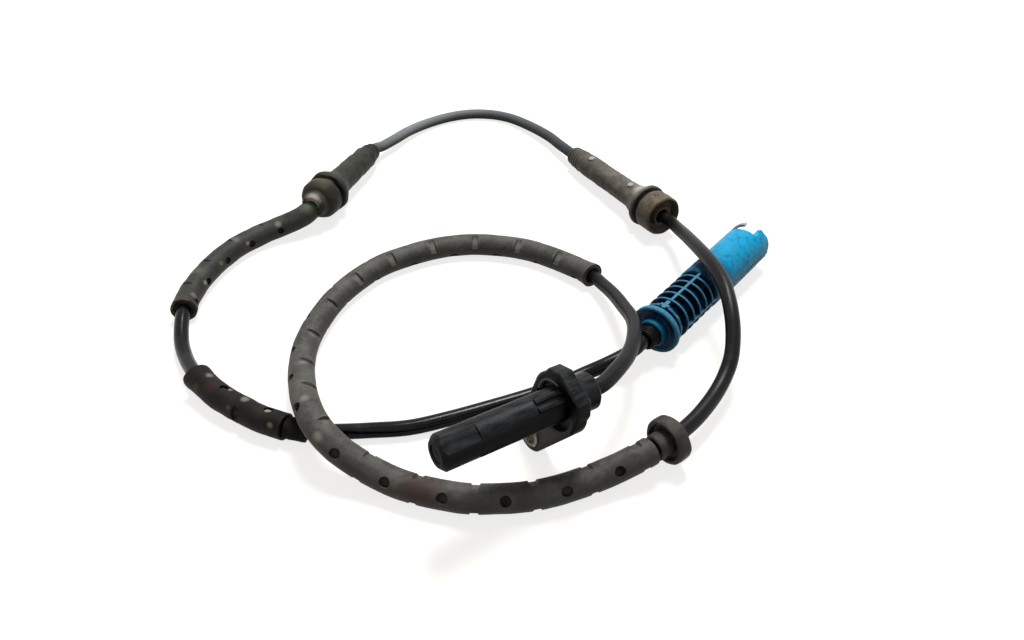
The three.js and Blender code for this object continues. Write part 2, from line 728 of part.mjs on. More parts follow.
const skirtFrom = plugLength - skirtLength;
const socketFrom = plugLength - socketDepth;
const socketRadius = skirtDiameter / 2 - skirtWall;
let shell = turned([
  [-collarLength, collarBore / 2],
  [-collarLength, collarDiameter / 2],
  [0, collarDiameter / 2],
  [0.8, discDiameter / 2 - 3],
  [0, discDiameter / 2 - 0.4],
  [0.5, discDiameter / 2],
  [discThickness, discDiameter / 2],
  [discThickness, coreBodyDiameter / 2],
  [skirtFrom, coreBodyDiameter / 2],
  [skirtFrom, skirtDiameter / 2 - 0.4],
  [skirtFrom + 0.8, skirtDiameter / 2],
  [plugLength - 0.4, skirtDiameter / 2],
  [plugLength, skirtDiameter / 2 - 0.4],
  [plugLength, socketRadius],
  [socketFrom, socketRadius],
  [socketFrom, chamberBore / 2],
  [chamberStart, chamberBore / 2],
  [chamberStart, collarBore / 2],
  [-collarLength, collarBore / 2],
], plugSides);
for (let i = 0; i < finCount; i += 1) {
  const x = finFirst + i * finPitch;
  shell = shell.add(ring(x - finThickness / 2, x + finThickness / 2, finDiameter, coreBodyDiameter - 0.6,
    plugSides));
}
for (let side = 0; side < 4; side += 1) {
  const height = finDiameter / 2 - coreBodyDiameter / 2 + 0.1;
  const spine = block((discThickness + skirtFrom) / 2, 0, coreBodyDiameter / 2 + height / 2 - 0.2,
    skirtFrom - discThickness + 0.6, spineWidth, height);
  shell = shell.add(about(spine, side * Math.PI / 2));
}
const keyZ = finDiameter / 2 + keyHeight / 2 - 0.3;
shell = shell.add(block(finFirst, 0, keyZ - 1, keyLength, spineWidth + 0.4, keyHeight + 2));
shell = shell.add(block(finFirst, 0, keyZ - 1, finThickness + 0.3, keyWidth, keyHeight + 2));
for (const side of [-1, 1]) {
  const rail = block(plugLength - railLength / 2 - 1, side * (railGap + railWidth) / 2,
    skirtDiameter / 2 + railHeight / 2 - 0.3, railLength, railWidth, railHeight + 0.6);
  shell = shell.add(about(rail, railAngle));
}
// The rim is cut back between two angles about the axis, with a shallow step beside the deep cut
function rimCut(from, to, depth) {
  const half = (to - from) / 2;
  const low = skirtDiameter / 2 * Math.cos(half) - 0.4;
  const width = 2 * (skirtDiameter / 2 + 1) * Math.tan(half);
  const cutter = block(plugLength - depth / 2 + 0.5, 0, low + 4, depth + 1,
    Math.min(width, skirtDiameter), 8);
  return about(cutter, (from + to) / 2);
}
shell = shell.subtract(rimCut(rimNotchFrom, rimNotchTo, rimNotchDepth));
shell = shell.subtract(rimCut(rimNotchTo, rimStepTo, rimStepDepth));
plug.add(show('plug_shell', shell, plugBlue));

// Ribbed boot in the collar
const bootRadius = bootDiameter / 2;
const bootProfile = [[-bootTail, leadBore / 2], [-bootTail, bootRadius - bootGroove]];
for (let x = -bootTail + bootRibPitch / 2; x < -collarLength - bootRibPitch / 2; x += bootRibPitch) {
  bootProfile.push([x, bootRadius], [x + bootRibPitch * 0.4, bootRadius]);
  bootProfile.push([x + bootRibPitch * 0.5, bootRadius - bootGroove]);
  bootProfile.push([x + bootRibPitch * 0.8, bootRadius - bootGroove]);
}
bootProfile.push([-collarLength - 0.2, bootRadius], [leadEnd, bootRadius], [leadEnd, leadBore / 2]);
bootProfile.push([-bootTail, leadBore / 2]);
plug.add(show('plug_boot', turned(bootProfile, 16), bootBlack));

// Seal, contact insert, two cores and two blades
const sealFrom = chamberStart + seat;
const sealTo = sealFrom + sealLength;
const insertFrom = sealTo + seat;
const insertTo = insertFrom + insertLength;
const bladeFrom = insertFrom + insertWeb;
let seal = rod(sealFrom, sealTo, chamberBore - 2 * seat, 32);
let insert = rod(insertFrom, insertTo, chamberBore - 2 * seat, 32);
for (const side of [-1, 1]) {
  const y = side * bladeSpacing / 2;
  const coreHole = coreDiameter + 2 * seat;
  seal = seal.subtract(rod(sealFrom - 1, sealTo + 1, coreHole, 12).translate([0, y, 0]));
  insert = insert.subtract(rod(insertFrom - 1, bladeFrom + 0.5, coreHole, 12).translate([0, y, 0]));
  insert = insert.subtract(block((bladeFrom + insertTo) / 2 + 0.5, y, 0, insertTo - bladeFrom + 1,
    bladeWidth + 2 * seat, bladeHeight + 2 * seat));
}
plug.add(show('wire_seal', seal, sealOrange));
plug.add(show('contact_insert', insert, insertPlastic));
for (const [side, tag, coreColor] of [[-1, 'a', coreBlue], [1, 'b', coreBlack]]) {
  const y = side * bladeSpacing / 2;
  const wire = rod(leadEnd + seat, bladeFrom - seat, coreDiameter, 12);
  plug.add(show('plug_core_' + tag, wire.translate([0, y, 0]), coreColor));
  const bladeTo = insertTo + bladeReach;
  const blade = block((bladeFrom + bladeTo + seat) / 2, y, 0, bladeTo - bladeFrom - seat, bladeWidth,
    bladeHeight);
  plug.add(show('contact_blade_' + tag, blade, tinned));
}

// The whole part is moved so that the middle of the head stands over the origin
part.position.set(-headMiddle.x - headPlaceX, -headMiddle.y - headPlaceY, 0);

export default part;
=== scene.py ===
import math
import bpy
import bmesh
from mathutils import Matrix, Vector, noise


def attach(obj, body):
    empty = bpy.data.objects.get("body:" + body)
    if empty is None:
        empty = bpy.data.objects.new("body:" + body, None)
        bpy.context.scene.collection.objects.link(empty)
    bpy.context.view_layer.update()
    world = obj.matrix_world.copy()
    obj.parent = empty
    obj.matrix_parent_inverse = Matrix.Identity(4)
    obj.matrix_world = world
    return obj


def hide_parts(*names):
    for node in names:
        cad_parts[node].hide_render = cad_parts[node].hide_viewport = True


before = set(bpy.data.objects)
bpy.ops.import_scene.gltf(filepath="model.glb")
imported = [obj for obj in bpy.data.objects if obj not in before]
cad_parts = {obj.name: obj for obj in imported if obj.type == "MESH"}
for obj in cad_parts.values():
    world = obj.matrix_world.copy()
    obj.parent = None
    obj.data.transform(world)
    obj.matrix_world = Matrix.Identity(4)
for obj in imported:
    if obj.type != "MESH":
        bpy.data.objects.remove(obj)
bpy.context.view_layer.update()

# Wheel speed sensor, lying on a pale floor. Sizes in the dictionaries are millimetres.
mm = 0.001
# Points of a turned mesh that lie this close together, in metres, are one
nearest = 1e-7
scene = bpy.context.scene
scene.view_settings.view_transform = "Standard"


# Camera, at the photograph's viewing angle
view = {"place": (-79.117, -120.191, 184.0), "tiltDown": 40.0, "heading": -33.25, "lens": 26.02, "sensor": 36.0}
cameraData = bpy.data.cameras.new("photoCamera")
cameraData.lens = view["lens"]
cameraData.sensor_width = view["sensor"]
cameraData.clip_start = 0.005
cameraData.clip_end = 20
camera = bpy.data.objects.new("photoCamera", cameraData)
camera.location = Vector(view["place"]) * mm
camera.rotation_euler = (math.radians(90 - view["tiltDown"]), 0, math.radians(view["heading"]))
scene.collection.objects.link(camera)
scene.camera = camera


# Small tools for this file
def linear(code):
    parts = [int(code[i:i + 2], 16) / 255 for i in (1, 3, 5)]
    return tuple(c / 12.92 if c <= 0.04045 else ((c + 0.055) / 1.055) ** 2.4 for c in parts) + (1,)


def addNode(tree, kind, settings=None, values=None, links=None):
    node = tree.nodes.new(kind)
    for key, value in (settings or {}).items():
        if key == "stops":
            ramp = node.color_ramp
            while len(ramp.elements) < len(value):
                ramp.elements.new(0.5)
            for element, (place, code) in zip(ramp.elements, value):
                element.position = place
                element.color = linear(code)
        else:
            setattr(node, key, value)
    for key, value in (values or {}).items():
        node.inputs[key].default_value = value
    for key, source in (links or {}).items():
        for one in source if isinstance(source, list) else [source]:
            tree.links.new(one, node.inputs[key])
    return node


def made(tree, kind, settings=None, values=None, links=None):
    # The first output of a new node
    return addNode(tree, kind, settings, values, links).outputs[0]


def give(tree, socket, value):
    # A number is set, and another node's output is joined
    if isinstance(value, (int, float)):
        socket.default_value = value
    else:
        tree.links.new(value, socket)


def sums(tree, operation, *given):
    # A Math node on numbers and other nodes' outputs
    node = addNode(tree, "ShaderNodeMath", {"operation": operation})
    for socket, value in zip(node.inputs, given):
        give(tree, socket, value)
    return node.outputs[0]


def spread(tree, value, low=0.0, high=1.0, bottom=0.0, top=1.0):
    # What lies between low and high comes out between bottom and top
    ends = {"From Min": low, "From Max": high, "To Min": bottom, "To Max": top}
    return made(tree, "ShaderNodeMapRange", values=ends, links={"Value": value})


def patches(tree, place, size, detail, roughness, distortion=0.0):
    # Noise with patches of a size in millimetres
    looks = {"Scale": 1 / (size * mm), "Detail": detail, "Roughness": roughness, "Distortion": distortion}
    return made(tree, "ShaderNodeTexNoise", values=looks, links={"Vector": place})


def tones(tree, stops, factor):
    return made(tree, "ShaderNodeValToRGB", {"stops": stops}, links={"Fac": factor})


def mixIn(tree, colour, share, wanted):
    # One more colour over what is there, where share is above nothing
    mixed = addNode(tree, "ShaderNodeMix", {"data_type": "RGBA"}, {7: linear(wanted)}, {0: share, 6: colour})
    return mixed.outputs[2]


def upward(tree):
    # How far the surface faces up
    normal = addNode(tree, "ShaderNodeNewGeometry").outputs["Normal"]
    return addNode(tree, "ShaderNodeSeparateXYZ", links={0: normal}).outputs["Z"]


def onObject(tree):
    return addNode(tree, "ShaderNodeTexCoord").outputs["Object"]


def keepMesh(name, mesh, finish=None):
    piece = bpy.data.objects.new(name, mesh)
    scene.collection.objects.link(piece)
    if finish:
        mesh.materials.clear()
        mesh.materials.append(finish)
    return piece


def pieceOn(name, mesh, finish, slot, *nodes):
    # A visible piece of the part, in the place of the nodes that it stands for
    piece = keepMesh(name, mesh, finish)
    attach(piece, "root")
    if nodes:
        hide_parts(*nodes)
    return piece


def shadeRound(mesh, sharp=35):
    mesh.polygons.foreach_set("use_smooth", [True] * len(mesh.polygons))
    mesh.set_sharp_from_angle(angle=math.radians(sharp))


def cleaned(mesh, sharp, merge=None):
    # Doubled points are merged, faces turned outwards and edges over an angle kept sharp
    work = bmesh.new()
    work.from_mesh(mesh)
    if merge:
        bmesh.ops.remove_doubles(work, verts=work.verts, dist=merge)
    bmesh.ops.recalc_face_normals(work, faces=work.faces)
    work.to_mesh(mesh)
    work.free()
    shadeRound(mesh, sharp)
    return mesh


def meshOf(name, verts, faces):
    mesh = bpy.data.meshes.new(name)
    mesh.from_pydata(verts, [], faces)
    return mesh


def joinedMesh(name, meshes):
    work = bmesh.new()
    for mesh in meshes:
        work.from_mesh(mesh)
        bpy.data.meshes.remove(mesh)
    mesh = bpy.data.meshes.new(name)
    work.to_mesh(mesh)
    work.free()
    return mesh


def finishedMesh(piece, name):
    # The piece with its modifiers worked in, as a plain mesh
    graph = bpy.context.evaluated_depsgraph_get()
    mesh = bpy.data.meshes.new_from_object(piece.evaluated_get(graph), depsgraph=graph)
    mesh.name = name
    bpy.data.objects.remove(piece)
    return mesh


# Floor and light: the floor is white to the camera and keeps the object's shadow
studio = {"floorTone": "#b3aca0", "bounceTone": "#55524c", "glow": 0.78, "floorReach": 4000, "skyStrength": 0.24,
          "keyWatts": 7.4, "keySize": 260, "keyPlace": (290, 300, 820), "keyTarget": (30, 90, 0)}


def seenDirectly(tree):
    # 1 for what the camera sees, also in a reflection or through glass, and 0 for light between surfaces
    rays = addNode(tree, "ShaderNodeLightPath").outputs
    direct = sums(tree, "MAXIMUM", rays["Is Camera Ray"], rays["Is Glossy Ray"])
    return sums(tree, "MAXIMUM", direct, rays["Is Transmission Ray"])


floorFinish = bpy.data.materials.new("paintedBoard")
floorFinish.use_nodes = True
tree = floorFinish.node_tree
tree.nodes.clear()
board = made(tree, "ShaderNodeBsdfDiffuse", values={"Color": linear(studio["floorTone"])})
bounce = made(tree, "ShaderNodeBsdfDiffuse", values={"Color": linear(studio["bounceTone"])})
glow = made(tree, "ShaderNodeEmission", values={"Color": (1, 1, 1, 1), "Strength": studio["glow"]})
lit = made(tree, "ShaderNodeAddShader", links={0: board, 1: glow})
both = made(tree, "ShaderNodeMixShader", links={0: seenDirectly(tree), 1: bounce, 2: lit})
addNode(tree, "ShaderNodeOutputMaterial", links={"Surface": both})

reach = studio["floorReach"] * mm
floorCorners = [(-reach, -reach, 0), (reach, -reach, 0), (reach, reach, 0), (-reach, reach, 0)]
floor = keepMesh("floor", meshOf("floor", floorCorners, [(0, 1, 2, 3)]), floorFinish)

sky = bpy.data.worlds.new("studio")
sky.use_nodes = True
tree = sky.node_tree
tree.nodes.clear()
soft = made(tree, "ShaderNodeBackground", values={"Color": (1, 1, 1, 1), "Strength": studio["skyStrength"]})
white = made(tree, "ShaderNodeBackground", values={"Color": (1, 1, 1, 1), "Strength": 1.0})
both = made(tree, "ShaderNodeMixShader", links={0: seenDirectly(tree), 1: soft, 2: white})
addNode(tree, "ShaderNodeOutputWorld", links={"Surface": both})
scene.world = sky

keyData = bpy.data.lights.new("keyLamp", "AREA")
keyData.size = studio["keySize"] * mm
keyData.energy = studio["keyWatts"]
keyLamp = bpy.data.objects.new("keyLamp", keyData)
keyLamp.location = Vector(studio["keyPlace"]) * mm
keyAim = (Vector(studio["keyTarget"]) - Vector(studio["keyPlace"])) * mm
keyLamp.rotation_euler = keyAim.to_track_quat("-Z", "Y").to_euler()
scene.collection.objects.link(keyLamp)
print("camera, floor and light are in place")


# Frames of the head and the plug, as in the solids. The middle of the head stands over the frame's origin, and the
# points of the run are typed from a little beside it.
headPlace = {"origin": (12.504, -2.395, 26.982), "tilt": 5, "lean": 25}
plugPlace = {"origin": (74.383, 20.509, 9.7), "heading": 16.6}
runStart = Vector((1.5832, 0.5092, 0))
headFrame = (Matrix.Translation(headPlace["origin"]) @ Matrix.Rotation(math.radians(headPlace["tilt"]), 4, "Y")
             @ Matrix.Rotation(math.radians(headPlace["lean"]), 4, "X"))
plugFrame = Matrix.Translation(plugPlace["origin"]) @ Matrix.Rotation(math.radians(plugPlace["heading"]), 4, "Z")
rightGrommetEnds = (Vector((126, 74, 11)) + runStart, Vector((133, 149.3, 6.6)) + runStart)
leftGrommetEnds = (Vector((48.6, 206, 7.8)) + runStart, Vector((9.4, 172, 11.2)) + runStart)
clipEnds = (Vector((34, -20.6, 8.1)) + runStart, Vector((47, -20.2, 8.1)) + runStart)
rightLength = 74


def frameOnto(start, end):
    turn = Vector((1, 0, 0)).rotation_difference((end - start).normalized())
    return Matrix.Translation(start) @ turn.to_matrix().to_4x4()


def onHead(x):
    return headFrame @ Vector((x, 0, 0))


def onPlug(x):
    return plugFrame @ Vector((x, 0, 0))


def onWay(ends, distance):
    return ends[0] + (ends[1] - ends[0]).normalized() * distance


rightFrame = frameOnto(*rightGrommetEnds)
leftFrame = frameOnto(*leftGrommetEnds)

# Route of the lead from the sensor to the plug, the same points as in the solids
headRun = [onHead(3), onHead(11), onHead(18), (38, 0.5, 24.4), (46.5, 5.2, 22.6), (55.5, 12.5, 20.2),
           (64, 22.5, 16.8), (70, 34.5, 12.6), (75, 46.5, 8.8), (77.5, 55.5, 6.4)]
longRun = [(78.5, 63, 5.4), (75.7, 75, 4.8), (68, 92, 4.7), (59.3, 102, 4.7), (49, 110, 4.7), (37, 115, 4.7),
           (24, 117, 4.7), (10, 116.7, 4.7), (-5, 111.6, 4.7), (-16, 105, 4.7), (-26, 96, 4.8), (-33.5, 87, 5),
           (-39, 76.5, 6.2), (-43, 64.5, 9.2), (-46.2, 50.5, 13.2), (-47, 40, 13.6), (-44.8, 31, 10.8),
           (-41, 24.7, 7.4), (-36, 16.8, 5.2), (-31.2, 9.9, 4.7), (-25, 2.8, 4.7), (-18.4, -3.3, 4.7),
           (-11, -8.1, 4.7), (-3.2, -12.2, 4.7), (5.5, -15.1, 4.7), (15.2, -17.3, 5), (25.5, -19.2, 6.2)]
clipRun = [onWay(clipEnds, 0), onWay(clipEnds, 4), onWay(clipEnds, 9), clipEnds[1]]
archRun = [(55, -18.8, 8.1), (62, -16.9, 8.4), (69.6, -14.2, 9), (76.3, -11.2, 10.6), (81.7, -8, 13.4),
           (86.5, -3.4, 17), (90.3, 1.6, 20.4), (94.5, 8, 23), (99, 15.5, 24.2), (104, 26, 23.8),
           (109, 36.5, 21.6), (115.5, 49, 17.8), (121.5, 60.5, 13.8)]
rightRun = [onWay(rightGrommetEnds, x) for x in (-5, 3, rightLength / 3, 51.8, 68, 77)]
topRun = [(134.8, 162, 5.6), (136.6, 175, 4.8), (136.3, 193, 3.8), (133.4, 209, 3), (127, 219, 2.8),
          (117.7, 225.5, 2.8), (106.3, 228.5, 2.8), (93.2, 228, 3), (78.4, 223.3, 4), (65.5, 216, 5.2), (56, 211, 6)]
leftGrommetRun = [onWay(leftGrommetEnds, x) for x in (-3, 6, 26.5, 45, 54)]
leftRun = [(-3, 165.3, 8.6), (-10.3, 166, 6.6), (-18, 166.6, 5.4), (-24, 166.1, 5), (-34.3, 163, 4.9),
           (-42.5, 158.3, 4.9), (-50, 152.3, 4.9), (-57.5, 144.3, 4.9), (-62.5, 137, 5.1), (-66.3, 128.5, 5.6)]
bareRun = [(-69, 121.8, 4.4), (-71, 114.5, 3.2), (-71.8, 106.2, 3.2), (-71.7, 98, 4.4)]
lowRun = [(-71, 90.7, 5.6), (-68.5, 81, 5.1), (-65.4, 73, 4.9), (-62.3, 66.7, 4.9), (-59.3, 61, 4.8),
          (-55.8, 56.2, 4.7), (-52.6, 52, 4.6)]
underRun = [(-47, 47.4, 3.7), (-41, 44.2, 3), (-31, 38.6, 2.8), (-20, 32.8, 2.8), (-7, 29, 2.8), (10, 25.3, 2.8),
            (21, 23.2, 2.8), (32, 21.4, 3.2), (42.3, 20, 4.6), (50, 18, 6.6), (57.5, 16.8, 8.4)]
plugRun = [onPlug(-12), onPlug(-9), onPlug(-4), onPlug(2.7), onPlug(5.7)]
runs = (headRun, longRun, clipRun, archRun, rightRun, topRun, leftGrommetRun, leftRun, bareRun, lowRun, underRun,
        plugRun)
route = [Vector(p) + runStart if isinstance(p, tuple) else p for run in runs for p in run]


def smoothLine(points, fine=30):
    ends = [points[0] * 2 - points[1]] + points + [points[-1] * 2 - points[-2]]
    line = []
    for a, b, c, d in zip(ends, ends[1:], ends[2:], ends[3:]):
        ab, bc, cd = (b - a).length ** 0.5, (c - b).length ** 0.5, (d - c).length ** 0.5
        leave = ((b - a) / ab - (c - a) / (ab + bc) + (c - b) / bc) * bc
        arrive = ((c - b) / bc - (d - b) / (bc + cd) + (d - c) / cd) * bc
        for i in range(fine):
            t = i / fine
            line.append(b + leave * t + ((c - b) * 3 - leave * 2 - arrive) * t * t
                        + ((b - c) * 2 + leave + arrive) * t ** 3)
    return line + [points[-1]]


leadLine = smoothLine(route)
leadAlong = [0.0]
for before, after in zip(leadLine, leadLine[1:]):
    leadAlong.append(leadAlong[-1] + (after - before).length)
leadLength = leadAlong[-1]


def leadPoint(s):
    s = min(max(s, 0), leadLength)
    low, high = 0, len(leadAlong) - 1
    while high - low > 1:
        middle = (low + high) // 2
        low, high = (middle, high) if leadAlong[middle] <= s else (low, middle)
    share = (s - leadAlong[low]) / max(leadAlong[high] - leadAlong[low], 1e-6)
    return leadLine[low].lerp(leadLine[high], share)


def leadFrame(s):
    ahead = (leadPoint(s + 0.6) - leadPoint(s - 0.6)).normalized()
    right = ahead.cross(Vector((0, 0, 1))).normalized()
    return ahead, right, right.cross(ahead)


def tubeMesh(name, start, end, step, sides, radiusAt):
    # A closed tube along the lead, with a UV map: round it in U, centimetres along it in V
    count = max(2, round((end - start) / step))
    verts, faces, uvs = [], [], []
    for i in range(count + 1):
        s = start + (end - start) * i / count
        middle = leadPoint(s)
        ahead, right, up = leadFrame(s)
        for j in range(sides):
            angle = 2 * math.pi * j / sides
            radius = radiusAt(s, angle)
            verts.append((middle + (up * math.cos(angle) + right * math.sin(angle)) * radius) * mm)
    for i in range(count):
        for j in range(sides):
            k = (j + 1) % sides
            faces.append((i * sides + j, i * sides + k, (i + 1) * sides + k, (i + 1) * sides + j))
            low, high = (start + (end - start) * i / count) / 10, (start + (end - start) * (i + 1) / count) / 10
            uvs += [(j / sides, low), ((j + 1) / sides, low), ((j + 1) / sides, high), (j / sides, high)]
    faces.append(tuple(reversed(range(sides))))
    faces.append(tuple(count * sides + j for j in range(sides)))
    uvs += [(0, 0)] * (2 * sides)
    mesh = meshOf(name, verts, faces)
    layer = mesh.uv_layers.new(name="around")
    layer.data.foreach_set("uv", [c for uv in uvs for c in uv])
    return cleaned(mesh, 50)


print("lead is", round(leadLength), "mm long")


# Materials
def startFinish(name):
    finish = bpy.data.materials.new(name)
    finish.use_nodes = True
    finish.node_tree.nodes.clear()
    return finish, finish.node_tree


def closeFinish(tree, colour, roughness, height, depth, gloss=0.5, metal=0.0):
    bump = made(tree, "ShaderNodeBump", values={"Strength": 1.0, "Distance": depth}, links={"Height": height})
    body = addNode(tree, "ShaderNodeBsdfPrincipled", values={"Metallic": metal},
                   links={"Base Color": colour, "Roughness": roughness, "Normal": bump})
    give(tree, body.inputs["Specular IOR Level"], gloss)
    addNode(tree, "ShaderNodeOutputMaterial", links={"Surface": body.outputs[0]})


def addSpots(tree, colour, place, uneven, spots):
    # Single stains and worn places: balls of another colour with a ragged rim
    for middle, radius, wanted, most in spots:
        away = addNode(tree, "ShaderNodeVectorMath", {"operation": "DISTANCE"}, {1: Vector(middle) * mm},
                       {0: place})
        ragged = sums(tree, "MULTIPLY_ADD", uneven, radius * mm, away.outputs["Value"])
        share = spread(tree, ragged, radius * 0.9 * mm, radius * 1.6 * mm, most, 0.0)
        colour = mixIn(tree, colour, share, wanted)
    return colour


# Moulded EPDM rubber, weathered: dull, uneven grey-brown with road dust on top, stains and worn spots, never glossy
def weatheredRubber(name, look, spots=(), zones=None):
    finish, tree = startFinish(name)
    place = onObject(tree)
    wide = patches(tree, place, look["patchSize"], 6, 0.58)
    colour = tones(tree, [(0.34, look["dark"]), (0.5, look["middle"]), (0.68, look["light"])], wide)
    stains = patches(tree, place, look["stainSize"], 3, 0.55, 0.6)
    stained = spread(tree, stains, look["stainFrom"], look["stainFrom"] + 0.16, top=look["stainMost"])
    colour = mixIn(tree, colour, stained, look["stain"])
    upper = spread(tree, upward(tree), 0.1, top=look["dustMost"])
    grit = patches(tree, place, 1.7, 7, 0.72)
    colour = mixIn(tree, colour, sums(tree, "MULTIPLY", upper, spread(tree, grit, 0.4, 0.72)), look["dust"])
    if zones:
        # Tints that change along the piece's own axis; a narrow dark band among them is painted shade in the groove
        frameNow = {"Location": zones["frame"].to_translation() * mm, "Rotation": zones["frame"].to_euler()}
        onAxis = made(tree, "ShaderNodeMapping", {"vector_type": "TEXTURE"}, frameNow, {"Vector": place})
        along = addNode(tree, "ShaderNodeSeparateXYZ", links={0: onAxis}).outputs["X"]
        tint = tones(tree, zones["stops"], sums(tree, "MULTIPLY", along, 1 / (zones["length"] * mm)))
        colour = addNode(tree, "ShaderNodeMix", {"data_type": "RGBA", "blend_type": "MULTIPLY"}, {0: 1.0},
                         {6: colour, 7: tint}).outputs[2]
    colour = addSpots(tree, colour, place, wide, spots)
    roughness = spread(tree, grit, bottom=look["rough"] - 0.14, top=look["rough"] + 0.14)
    height = sums(tree, "MULTIPLY_ADD", grit, 0.7, wide)
    closeFinish(tree, colour, roughness, height, look["grain"] * mm, look["gloss"])
    return finish


def onSurface(s, degrees, radius):
    ahead, right, up = leadFrame(s)
    angle = math.radians(degrees)
    return leadPoint(s) + (up * math.cos(angle) + right * math.sin(angle)) * radius


def spotsAt(*marks):
    # Each mark: millimetres along the lead, turn round it, distance from its middle, radius, colour and strength
    return [(onSurface(s, degrees, out), radius, colour, most) for s, degrees, out, radius, colour, most in marks]


sleeveLook = {"dark": "#35322f", "middle": "#454340", "light": "#585650", "stain": "#2e2925", "dust": "#77736b",
              "patchSize": 7.0, "stainSize": 15.0, "stainFrom": 0.5, "stainMost": 0.6, "dustMost": 0.55,
              "rough": 0.62, "grain": 0.16, "gloss": 0.3}
leftSleeveLook = dict(sleeveLook, dark="#191a16", middle="#272823", light="#3b3c36", stain="#171411",
                      dust="#55574e", dustMost=0.45)
lowSleeveLook = dict(sleeveLook, dark="#070606", middle="#0f0e0d", light="#1e1c1a", stain="#0e0a08",
                     dust="#3b3732", dustMost=0.25, gloss=0.14)
grommetLook = dict(sleeveLook, dark="#3f3c37", middle="#59554e", light="#77726a", stain="#3f362d", dust="#9c968b",
                   dustMost=0.65, patchSize=6.0)
leftLook = dict(sleeveLook, dark="#20221e", middle="#2d302a", light="#3f4239", stain="#2b2821", dust="#5c5e50",
                dustMost=0.45, patchSize=5.0, stainSize=12.0, gloss=0.2)
clipLook = dict(sleeveLook, dark="#171513", middle="#2b2724", light="#453f38", stain="#14110f", dust="#6a6258",
                patchSize=3.5, dustMost=0.4)
dirtLook = dict(sleeveLook, dark="#27231f", middle="#3d3833", light="#5f594f", stain="#221e1a", dust="#7b7468",
                dustMost=0.3, patchSize=9.0, stainSize=7.0, rough=0.9, grain=0.2, gloss=0.1)
# Pale colours for the painted highlight on the head's recess rim
rimHighlightLook = dict(dirtLook, dark="#8d8578", middle="#a49c8e", light="#b9b1a3", stain="#7d7467", dustMost=0.6)
nearBlackLook = dict(sleeveLook, dark="#080706", middle="#110e0c", light="#211b16", stain="#070605", dust="#332b23",
                patchSize=3.0, grain=0.25, rough=0.8, gloss=0.12)

# The long sleeve's holes stand a little closer towards its far end, and pale spots on its first saw cuts, between the
# holes, are painted light on the lit cut floors
longRows = {"start": 105, "first": 6.7, "pitch": 19.57, "drift": 0.071, "paintedLitCuts": 11}
cutSteps = [k + 0.5 for k in range(longRows["paintedLitCuts"])]
cutPlaces = [longRows["start"] + longRows["first"] + longRows["pitch"] * step - longRows["drift"] * step ** 2
             for step in cutSteps]
rusty = "#3a2620"
worn = "#8d877b"
nearBlackPatch = "#131210"
# The first spots, one at each saw cut, are painted light on the cut floors
longSpots = spotsAt(*[(s, -36, 4.3, 2.1, "#86837a", 0.7) for s in cutPlaces],
                    (348, 50, 4.5, 8, rusty, 0.75), (330, 90, 4.5, 5, rusty, 0.4),
                    (312, 45, 4.5, 2.0, "#9a968a", 0.8), (299, 5, 4.5, 1.7, "#8a877e", 0.7),
                    (275, -15, 4.5, 1.8, "#8a877e", 0.6), (380, 10, 4.5, 7, "#2f2a28", 0.6),
                    (407, 60, 4.5, 6, "#2f2a28", 0.6))
# The first three left sleeve marks are near-black patches low on one side
leftSpots = spotsAt((908, -105, 4.5, 7, nearBlackPatch, 0.9), (932, -112, 4.5, 6, nearBlackPatch, 0.9),
                    (943, -112, 4.5, 5, nearBlackPatch, 0.9), (881, -40, 4.5, 1.7, worn, 0.9),
                    (902, -10, 4.5, 2.0, "#6d6a60", 0.8), (926, 5, 4.5, 2.6, "#565a3c", 0.8),
                    (898.5, -68, 4.5, 1.1, "#a39689", 0.85), (916, -66, 4.5, 1.3, "#6f7052", 0.8),
                    (930, -68, 4.5, 1.2, "#a39c90", 0.85), (941, -50, 4.5, 1.6, "#75716a", 0.8),
                    (866, -20, 4.5, 4, "#5c614e", 0.7), (945, 0, 4.7, 3.0, "#3d2a18", 0.9),
                    (946, 60, 4.9, 1.8, "#6a6440", 0.8), (946, -70, 4.7, 3.0, "#2c1e15", 0.9))
lowSpots = spotsAt((994, 62, 4.7, 2.2, "#4a3f26", 0.85), (994, -25, 4.7, 1.7, worn, 0.8),
                   (999, 15, 4.6, 3.2, "#33201b", 0.75), (1005.2, -28, 4.5, 1.0, worn, 0.8),
                   (1013, -20, 4.5, 1.6, worn, 0.85), (1010, 50, 4.5, 1.2, "#5f564c", 0.85),
                   (1027, 50, 4.5, 3.4, "#0b0a09", 0.95), (1026.6, 50, 4.7, 1.3, "#8f7a6b", 0.9),
                   (1021, 0, 4.5, 3.5, "#2b2927", 0.6))
dirtSpots = spotsAt((1023, -20, 3.7, 2.4, "#a89e8c", 0.95), (881, -82, 3.7, 2, "#3b342c", 0.7))
cupSpots = [(onWay(rightGrommetEnds, 3) + Vector((0, 0, 5)), 4, "#6b4f3c", 0.5)]
neckSpots = [(rightFrame @ Vector((x, y, z)), radius, "#b9b5ab", 0.85)
             for x, y, z, radius in ((56.2, 1.42, 5.7, 1.9), (23.4, 1.65, 5.8, 1.9), (15.5, 1.5, 6.6, 4.5))]
hubSpots = [(onWay(leftGrommetEnds, 56) + Vector((3, 2, 6)), 5, "#5f6046", 0.7),
            (onWay(leftGrommetEnds, 61) + Vector((-2, -3, 4)), 4, "#d2c7b6", 0.85)]

